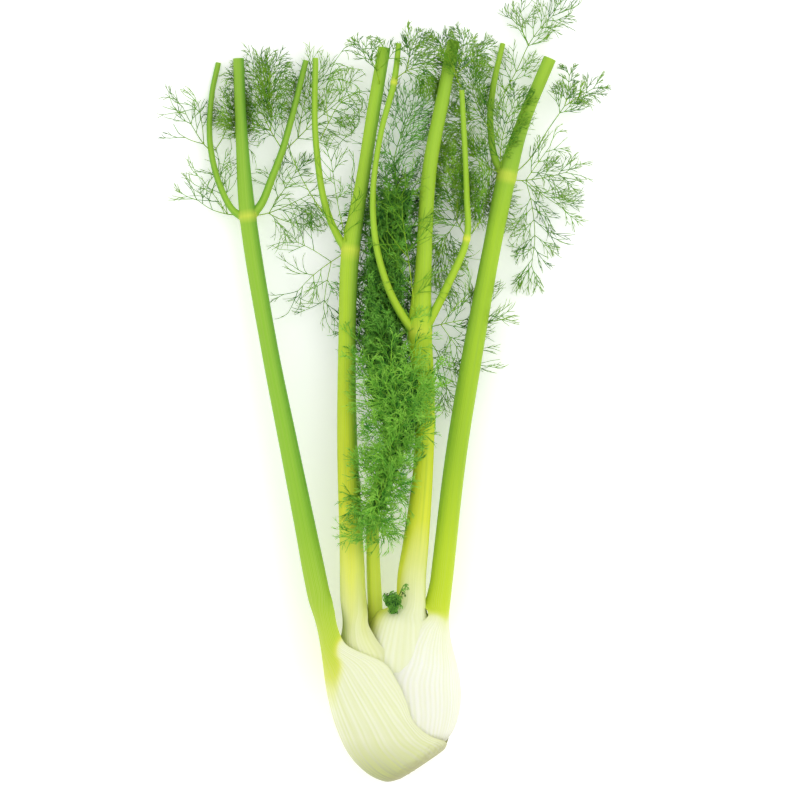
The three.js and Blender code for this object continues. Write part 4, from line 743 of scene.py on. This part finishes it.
# How densely each spray is forked, and its ribs: their stations of x, y and z, with a radius where it
# isn't the usual one, and the length of their longest side ribs. A rib of two stations leaves the first
# rib at its second station.
SPRAYS = {
    "outer_left_spray_west": (0.56, [
        ([(-95, 299, 14), (-104, 300, 12), (-114, 303, 9), (-123, 309, 8)], 15),
        ([(-111, 310, 16), (-119, 321, 18)], 15),
        ([(-107, 314, 19), (-110, 328, 20)], 15),
    ]),
    "outer_left_spray_east": (0.72, [
        ([(-87, 299, 13), (-78, 301, 10), (-66, 306, 8), (-54, 312, 7)], 20),
        ([(-79, 301, 10), (-68, 296, 6), (-56, 294, 5)], 15),
        ([(-70, 314, 5), (-62, 326, 4)], 15),
    ]),
    "outer_left_branch_spray_west": (0.5, [
        ([(-113, 338, 9), (-119, 344, 10), (-126, 355, 9), (-132, 367, 8)], 14),
        ([(-127, 346, 14), (-134, 350, 15)], 11),
        ([(-120, 356, 15), (-122, 368, 17)], 13),
    ]),
    "outer_left_branch_spray_east": (0.65, [
        ([(-112, 340, 8, 0.9), (-106, 350, 9, 0.7), (-102, 362, 12, 0.5)], 15),
    ]),
    "outer_left_crown_west": (1.45, [
        ([(-71, 342, 13), (-77, 352, 17), (-84, 368, 21), (-88, 386, 20)], 17),
        ([(-76, 370, 20), (-77, 388, 19)], 14),
        ([(-88, 356, 20), (-98, 362, 21)], 16),
    ]),
    "outer_left_crown_east": (0.86, [
        ([(-67, 341, 10), (-60, 348, 7), (-50, 358, 6), (-40, 366, 7), (-31, 374, 8)], 18),
        ([(-57, 366, 5), (-51, 384, 5)], 16),
    ]),
    "inner_left_spray_west": (0.52, [
        ([(-31, 275, 24), (-39, 270, 20), (-50, 262, 16), (-60, 252, 13)], 20),
        ([(-50, 277, 24), (-60, 282, 25)], 17),
        ([(-42, 256, 15), (-44, 242, 12)], 15),
    ]),
    "inner_left_spray_middle": (0.5, [
        ([(-29, 279, 28), (-31, 288, 31), (-35, 306, 31), (-39, 332, 29)], 17),
        ([(-27, 304, 34), (-26, 326, 34)], 12),
    ]),
    "inner_left_branch_spray_west": (0.45, [
        ([(-44, 300, 23, 0.8), (-50, 309, 23, 0.8), (-58, 323, 21, 0.7), (-65, 340, 19, 0.6),
          (-70, 356, 20, 0.5)], 16),
    ]),
    "inner_left_branch_spray_east": (0.5, [
        ([(-46, 346, 19), (-41, 356, 21), (-34, 368, 22), (-27, 372, 20), (-22, 364, 18)], 13),
        ([(-42, 372, 26), (-37, 388, 27)], 15),
    ]),
    "inner_left_tip_tuft": (0.85, [
        ([(-9, 380, 28), (-11, 388, 30), (-15, 396, 30), (-21, 403, 29)], 10),
        ([(-9, 398, 32), (-6, 406, 31)], 10),
        ([(-6, 392, 32), (-1, 399, 31)], 9),
    ]),
    "inner_right_branch_spray_left": (1.5, [
        ([(1, 383, 32), (8, 388, 34), (17, 390, 35), (27, 390, 34)], 15),
        ([(10, 399, 35), (13, 407, 33)], 11),
        ([(15, 384, 34), (23, 378, 32)], 8),
    ]),
    "inner_right_spray_front": (0.45, [
        ([(13, 236, 38), (11, 254, 41), (8.7, 272, 42), (5.2, 297, 42), (5, 311, 41)], 20),
        ([(8.7, 272, 42), (2, 280, 42), (-4, 288, 41)], 15),
    ]),
    "inner_right_spray_east": (0.78, [
        ([(21, 229, 33), (29, 231, 33), (44, 234, 35), (58, 237, 36)], 19),
        ([(36, 221, 34), (46, 208, 34)], 18),
        ([(38, 242, 35), (50, 254, 36)], 16),
    ]),
    "inner_right_spray_low": (0.85, [
        ([(20, 223, 26), (25, 217, 22), (30, 206, 17), (33, 192, 13)], 16),
    ]),
    "inner_right_crown": (1.3, [
        ([(44, 286, 29), (39, 295, 24), (34, 310, 18), (31, 330, 15)], 18),
        ([(32, 284, 17), (29, 268, 12)], 16),
        ([(39, 312, 27), (36, 334, 28)], 14),
    ]),
    "inner_right_crown_east": (1.3, [
        ([(48, 287, 31), (53, 295, 33), (58, 308, 34), (61, 320, 33)], 16),
    ]),
    "inner_right_branch_tip": (1.5, [
        ([(41, 378, 30), (38, 386, 33), (34, 396, 34), (30, 404, 33)], 10),
        ([(46, 392, 35), (54, 400, 34)], 10),
        ([(42, 397, 36), (43, 406, 35)], 9),
    ]),
    "outer_right_spray_west": (1.6, [
        ([(66, 325, 21), (60, 328, 23), (53, 332, 23), (46, 338, 22)], 16),
        ([(56, 318, 23), (51, 307, 22)], 14),
    ]),
    "outer_right_spray_front": (1.3, [
        ([(67, 327, 22), (66, 338, 25), (69, 354, 25), (75, 370, 24)], 13),
    ]),
    "outer_right_branch_spray": (1.6, [
        ([(60, 352, 15), (55, 360, 18), (50, 372, 20), (47, 386, 20)], 15),
        ([(47, 358, 19), (39, 360, 18)], 13),
    ]),
    "outer_right_long_spray": (0.85, [
        ([(64, 366, 12), (68, 374, 12), (77, 391, 11), (84, 406, 9), (91, 416, 9), (99, 424, 9)], 15),
        ([(84, 406, 9, 0.6), (80, 415, 8, 0.5), (78, 423, 7, 0.5)], 12),
    ]),
    "outer_right_thin_branch": (1, [
        ([(75, 325, 19, 0.9), (85, 335, 19, 0.9), (95.5, 352, 18, 0.8), (106, 367, 17, 0.7)], 17),
        ([(106, 367, 17, 0.6), (108, 375, 18, 0.6), (109, 386, 18, 0.5)], 8),
        ([(106, 367, 17, 0.6), (115, 373, 18, 0.6), (124, 378, 18, 0.5)], 9),
    ]),
    "outer_right_spray_east": (0.85, [
        ([(74, 321, 18), (82, 321, 17), (95, 323, 16), (107, 326, 15)], 15),
        ([(93, 312, 13), (105, 304, 10)], 15),
        ([(82, 321, 17, 0.7), (86, 306, 11, 0.6), (88, 286, 7, 0.6), (86, 268, 5, 0.5)], 16),
        ([(89, 331, 20), (97, 342, 21)], 13),
    ]),
}

stalk_samples = np.concatenate([
    path_through(stations, 2)[0]
    for leaf in LEAVES.values() for stations in [leaf["stalk"]] + leaf["branches"]
])


def forks(curve, long, level, normal, dense, chance):
    """Where and which way threads leave a curve, in pairs, with a narrower pair at its end.

    Up to 1, `dense` is the share of them that grow. Over 1, it sets them closer together.
    """
    count = max(1, round(long / FORK_GAP[level] * max(1, dense)))
    for n in range(count + 1):
        at_end = n == count
        t = 1.0 if at_end else (n + chance.uniform(0.5, 0.85)) / (count + 0.4)
        start, on = curve(t)
        side = unit(np.cross(normal, on))
        for hand in (-1, 1):
            if chance.random() > dense:
                continue
            roll = chance.normal(0, FORK_ROLL[level])
            lean = FORK_LEAN[level] * chance.uniform(*VARIED) * (END_LEAN if at_end else 1)
            out = hand * side * math.cos(roll) + np.cross(on, side) * math.sin(roll)
            yield t, start, on * math.cos(lean) + out * math.sin(lean)


def grow(threads, start, way, long, level, curl, tone, tip, dense, chance):
    """Grows a curving thread and all that forks from it. `tip` runs from 0 at a stalk to 1 at the tips."""
    flat = unit(np.cross(way, UPWARD))
    normal = np.cross(flat, way)
    curl = curl + chance.normal(0, WAVER[level])
    bend = flat * curl + normal * chance.normal(0, WAVER[level])
    steps = np.linspace(0, 1, THREAD_STEPS[level] + 1)
    path = start + long * (np.outer(steps, way) + np.outer(steps**2 / 2, bend))
    threads.append((path, THREAD_RADIUS[level] * (1 - THREAD_TAPER * steps), tone, tip + TIP_STEP * steps))
    if level + 1 == len(THREAD_STEPS):
        return

    def curve(t):
        return start + long * (way * t + bend * t * t / 2), unit(way + bend * t)

    for t, at, on in forks(curve, long, level, normal, dense, chance):
        child = long * FORK_SHARE[level] * (1.15 - 0.5 * t) * chance.uniform(*VARIED)
        grow(threads, at, on, child, level + 1, 0.8 * curl, tone, tip + TIP_STEP, dense, chance)


def grow_rib(threads, stations, reach, dense, chance, hold=ROOT_HOLD, curl=None):
    """Grows a rib through its stations, with side ribs up to `reach` long past its first `hold`."""
    path, along = path_through(stations, RIB_STEP)
    length = gaps(path[:, :3]).sum()
    threads.append((path[:, :3], path[:, 3] * RIB_RADIUS, 0.5, np.linspace(0, 0.3, len(path))))
    flat = unit(np.cross(along[len(along) // 2], UPWARD))
    curl = chance.uniform(-CURL, CURL) if curl is None else curl

    def curve(t):
        at = min(t, 0.999) * (len(path) - 1)
        i = int(at)
        return path[i, :3] + (path[i + 1, :3] - path[i, :3]) * (at - i), along[i]

    for t, at, on in forks(curve, length, 0, np.cross(flat, along[0]), dense, chance):
        if t * length < (hold if length > hold else ROOT_HOLD / 2):
            continue
        # Side ribs are longest just before the middle of their rib.
        long = reach * (0.55 + 0.25 * math.sin(math.pi * (0.2 + 0.65 * t))) * chance.uniform(0.75, 1.2)
        grow(threads, at, on, long, 1, curl, chance.uniform(0, 1), TIP_STEP, dense, chance)


def lay_clear(threads, root, in_front):
    """Keeps threads off the table, and in front of the stalks that they meet, or dipped under them."""
    points = np.concatenate([path for path, *_ in threads])
    low, high = points.min(axis=0) - STALK_NEAR, points.max(axis=0) + STALK_NEAR
    close = stalk_samples[np.all((stalk_samples[:, :3] > low) & (stalk_samples[:, :3] < high), axis=1)]
    free = ease(np.linalg.norm(points - root, axis=1), 0.5 * ROOT_HOLD, 1.5 * ROOT_HOLD)
    edge = close[:, 3] + STALK_CLEARANCE
    if len(close) and in_front:
        away = points[:, None] - close[None, :, :3]
        apart = np.linalg.norm(away, axis=2)
        depth = edge - apart
        worst = depth.argmax(axis=1)
        rows = np.arange(len(points))
        push = np.maximum(0, depth[rows, worst]) * free
        points = points + away[rows, worst] * (push / np.maximum(apart[rows, worst], 0.01))[:, None]
    elif len(close):
        apart = np.linalg.norm(points[:, None, :2] - close[None, :, :2], axis=2)
        near = 1 - ease(apart, edge, edge + DIP_RUN)
        dip = near * np.maximum(0, points[:, None, 2] - (close[:, 2] - edge))
        points[:, 2] -= dip.max(axis=1) * free
    points[:, 2] = np.maximum(points[:, 2], TABLE_CLEARANCE)
    ends = np.cumsum([len(path) for path, *_ in threads])
    return [(path, *rest) for path, (_, *rest) in zip(np.split(points, ends[:-1]), threads)]


def thread_skins(threads):
    """One mesh of three-sided threads, each closed at both ends, with each point's tone and tip."""
    points, faces, tones, tips = [], [], [], []
    start = 0
    turn = np.arange(3) * 2 * math.pi / 3
    for rows in sorted({len(thread[0]) for thread in threads}):
        alike = [thread for thread in threads if len(thread[0]) == rows]
        path = np.stack([thread[0] for thread in alike])
        radii = np.stack([thread[1] for thread in alike])
        along = unit(np.gradient(path, axis=1))
        across = np.cross(along[:, :1], UPWARD)
        side = unit(across - along * np.sum(across * along, axis=2, keepdims=True))
        up = np.cross(along, side)
        around = side[:, :, None] * np.cos(turn)[:, None] + up[:, :, None] * np.sin(turn)[:, None]
        points.append((path[:, :, None] + radii[:, :, None, None] * around).reshape(-1, 3))
        tones.append(np.repeat([thread[2] for thread in alike], rows * 3))
        tips.append(np.repeat(np.stack([thread[3] for thread in alike]).ravel(), 3))
        first = start + np.arange(len(alike))[:, None] * rows * 3
        faces += (first[..., None] + grid_faces(rows, 3)).reshape(-1, 4).tolist()
        faces += (first + [2, 1, 0]).tolist() + (first + (rows - 1) * 3 + [0, 1, 2]).tolist()
        start += len(alike) * rows * 3
    return np.concatenate(points), faces, {"tone": np.concatenate(tones), "tip": np.concatenate(tips)}


# Living leaf: soft and slightly waxy, so never glossy. Ribs are yellow-green near the stalk, and threads
# are deeper green, each side rib a little lighter or darker than the next.
def leaf_thread(name, rib, thread, tip, shade):
    """The leaf of a spray. `rib`, `thread` and `tip` are its colours outwards, `shade` its darkest tone."""
    made, tree, surface = new_material(name)
    outwards = add_node(tree, "Attribute", output="Fac", attribute_name="tip")
    tone = add_node(tree, "Attribute", output="Fac", attribute_name="tone")
    place = add_node(tree, "TexCoord", output="Object")
    green = add_node(tree, "ValToRGB", {"Fac": outwards})
    ramp = green.node.color_ramp
    ramp.elements[0].color = linear(rib)
    ramp.elements[0].position = 0.05
    ramp.elements[1].color = linear(tip)
    ramp.elements.new(0.38).color = linear(thread)
    mottle = add_node(tree, "TexNoise", {"Vector": place, "Scale": 1 / (LEAF_MOTTLE * MM), "Detail": 2})
    patchy = add_node(tree, "MapRange", {0: mottle, 1: 0.35, 2: 0.65, 3: 0.2, 4: 1.2})
    mixed = add_node(tree, "Math", {0: tone, 1: patchy}, operation="MULTIPLY")
    coloured = add_node(tree, "Mix", {0: mixed, 6: green, 7: linear(shade)}, 2, data_type="RGBA")
    skin = add_node(tree, "BsdfPrincipled", {
        "Base Color": coloured, "Roughness": 0.6, "IOR": 1.4, "Specular IOR Level": 0.2,
    })
    tree.links.new(skin, surface)
    return made


fresh_leaf = leaf_thread("fresh_leaf", "#aed22c", "#7cbc2e", "#98c43c", "#3a7e22")
for seed, (node, (dense, ribs)) in enumerate(SPRAYS.items(), start=40):
    chance = np.random.default_rng(seed)
    threads = []
    for places, reach in ribs:
        places = places if len(places) > 2 else [ribs[0][0][1], *places]
        stations = [(*place, radius)[:4] for place, radius in zip(places, RIB_RADII[len(places)])]
        grow_rib(threads, stations, reach, dense, chance, BARE.get(node, ROOT_HOLD), CURLED.get(node))
    points, faces, values = thread_skins(lay_clear(threads, ribs[0][0][0][:3], node in IN_FRONT))
    make_piece(f"{node}_threads", points, faces, [fresh_leaf], node, values)

# ---- The young leaves at the heart ----
# The youngest leaf is still bunched up: a dense dark plume of short ribs all round its slim stems, with
# matted threads at its core. Its threads over the stalks are a lighter green, painted light, and those
# under the stalks are darker, painted shade. The core is a dark sheet of painted shade, together with the
# darker green of packed threads. A second, younger one peeps out of the bulb's top as a small dark curl.
PLUME_CORE = np.array([  # x, y, z, half width, half height
    (-13, 105, 39, 2, 3), (-11, 117, 39, 1, 5), (-4, 136, 39, 0, 5), (-2, 150, 40, 1, 5),
    (4, 165, 41, 5, 6), (3, 182, 42, 11, 6), (-1, 200, 40, 11, 6), (-6, 212, 34, 7, 5),
    (-7, 226, 28, 7, 5), (-7, 258, 24, 7, 5), (-4, 289, 24, 6, 4), (2, 312, 24, 4, 4), (3, 320, 24, 2, 2),
])
PLUME_LENGTH = np.ptp(PLUME_CORE[:, 1])
PLUME_TIP = ([(2, 316, 24, 1.4), (0, 333, 25, 1), (5, 350, 24, 0.8), (11, 364, 23, 0.5)], 22)
PLUME_RIBS = 190
PLUME_RIB_LENGTH = 13
PLUME_RIB = [(-0.9, 3, 1), (0.1, 2, 0.9), (0.5, 3, 0.8), (1, 8, 0.6)]  # share of that, ahead, radius
PLUME_REACH = 11
PLUME_DENSITY = 0.76
PLUME_FLATNESS = 0.6  # how far the plume spreads up and down for its spread to the sides
PLUME_UPWARD = 0.55  # how far the ribs crowd to its upper side
PLUME_LEAN = 6  # how far their tips stray up or down the plume
FOOT_LENGTH = 20  # the stretch at its foot where they lean down it
FOOT_LEAN = -14  # and how far, at its very start
PLUME_CROSSES = 207  # below this height the plume lies over the stalks beside it, and above it passes under
MAT_RUN = (0.05, 0.97)  # shares of the plume's length between which the mat lies
MAT_ROWS = 110
MAT_COLUMNS = 40
MAT_SPREAD = (2.5, 2.2)  # how far it reaches beyond the core, and how unevenly
MAT_SINK = 5  # how far it lies below the core
MAT_ROUGHNESS = 0.5
MAT_FIBRE = 1.6
MAT_DARK = "#24561a"
MAT_LIT = "#72b844"
GOLDEN_ANGLE = math.pi * (3 - math.sqrt(5))
TUFT_MIDDLE = (-2.2, 58, 45)
TUFT_RIBS = 26
TUFT_TWIST = 0.6  # how far the ribs' tips have turned round the tuft
TUFT_RIB = [  # spread across and along, ahead, height at the tuft's middle and at its rim, twist, radius
    (0, 0, -5, -6, -6, 0, 1), (1.5, 1, -1, -1, -1, 0, 1), (3, 2.2, 1, 5, 2, 0, 0.8),
    (4, 3.4, 2, 5, 2, TUFT_TWIST, 0.6),
]
TUFT_SIDE = [  # a curl that stands apart
    (-2.2, 56, 43, 1), (3.2, 64, 47, 0.9), (4.4, 67, 48, 0.8), (5.6, 69.5, 48.5, 0.6),
]
TUFT_REACH = 3
TUFT_CURL = 2.2


def on_plume(t, turn, out):
    """Points `out` from the plume's core, at t along it and `turn` round it."""
    at = PLUME_CORE[0, 1] + t * PLUME_LENGTH
    x, y, z, wide, high = (np.interp(at, PLUME_CORE[:, 1], column) for column in PLUME_CORE.T)
    return np.stack([x + (wide + out) * np.cos(turn), y + 0 * turn,
                     z + (high + PLUME_FLATNESS * out) * np.sin(turn)], axis=-1)


chance = np.random.default_rng(7)
low, high = [], []
grow_rib(high, *PLUME_TIP, 1, chance)
for n in range(PLUME_RIBS):
    t, turn = (n + 0.5) / PLUME_RIBS, n * GOLDEN_ANGLE
    turn += PLUME_UPWARD * math.cos(turn)
    lean = chance.normal(0, PLUME_LEAN) + FOOT_LEAN * max(0, 1 - t * PLUME_LENGTH / FOOT_LENGTH)
    stations = [(*(on_plume(t, turn, share * PLUME_RIB_LENGTH) + (0, ahead + lean * share, 0)), radius)
                for share, ahead, radius in PLUME_RIB]
    threads = low if stations[0][1] < PLUME_CROSSES else high
    grow_rib(threads, stations, PLUME_REACH, PLUME_DENSITY, chance, 0)
# The plume's threads that lie over the stalks take a lighter copy of its colours, painted light. Those that
# pass under the stalks take the darker dark_leaf, painted shade. The tuft uses dark_leaf too.
lit_plume_leaf = leaf_thread("lit_plume_leaf", "#c4ec50", "#8cd848", "#b0ea5c", "#44962f")
dark_leaf = leaf_thread("dark_leaf", "#a4dc48", "#62ae38", "#8cd050", "#1c5220")
for part, threads, leaf in ("low", low, lit_plume_leaf), ("high", high, dark_leaf):
    points, faces, values = thread_skins(lay_clear(threads, (0, 0, 0), part == "low"))
    make_piece(f"heart_plume_{part}_threads", points, faces, [leaf], "heart_plume",
               values)

# Matted threads at the plume's core, packed too closely to be told apart: a dark, soft and fibrous sheet a
# little below the core. Its dark green is painted shade for the plume's shaded inside, as well as the
# darker green of its packed threads, and it is speckled with the lighter green of threads in the light.
shaded_mat, tree, surface = new_material("matted_threads_and_shade")
place = add_node(tree, "TexCoord", output="Object")
fibres = add_node(tree, "TexNoise", {
    "Vector": place, "Scale": 1 / (MAT_FIBRE * MM), "Detail": 4, "Distortion": 2.5,
})
lit = add_node(tree, "MapRange", {0: fibres, 1: 0.42, 2: 0.66, 3: 0, 4: 1})
green = add_node(tree, "Mix", {0: lit, 6: linear(MAT_DARK), 7: linear(MAT_LIT)}, 2, data_type="RGBA")
skin = add_node(tree, "BsdfPrincipled", {
    "Base Color": green, "Roughness": 0.8, "IOR": 1.4, "Specular IOR Level": 0.2,
})
tree.links.new(skin, surface)

turns = np.linspace(0, 2 * math.pi, MAT_COLUMNS, endpoint=False)
rows = [on_plume(t, turns, chance.normal(*MAT_SPREAD, MAT_COLUMNS))
        for t in np.linspace(*MAT_RUN, MAT_ROWS)]
points, faces = closed_loft(rows)
points += chance.normal(0, MAT_ROUGHNESS, points.shape) - (0, 0, MAT_SINK)
# This sheet is painted shade for the plume's inside, with the darker green of its packed threads.
make_piece("heart_plume_matted_shade_core", points, faces, [shaded_mat], "heart_plume")

threads = []
x, y, z = TUFT_MIDDLE
for n in range(TUFT_RIBS):
    turn, out = n * GOLDEN_ANGLE, math.sqrt((n + 0.5) / TUFT_RIBS)
    stations = [
        (x + across * out * math.cos(turn + twist), y + ahead + along * out * math.sin(turn + twist),
         z + (middle + (rim - middle) * out), radius)
        for across, along, ahead, middle, rim, twist, radius in TUFT_RIB
    ]
    grow_rib(threads, stations, TUFT_REACH, 0.9, chance, 0, TUFT_CURL)
grow_rib(threads, TUFT_SIDE, TUFT_REACH, 1, chance, 0, TUFT_CURL)
points, faces, values = thread_skins(threads)
make_piece("heart_tuft_threads", points, faces, [dark_leaf], "heart_tuft", values)
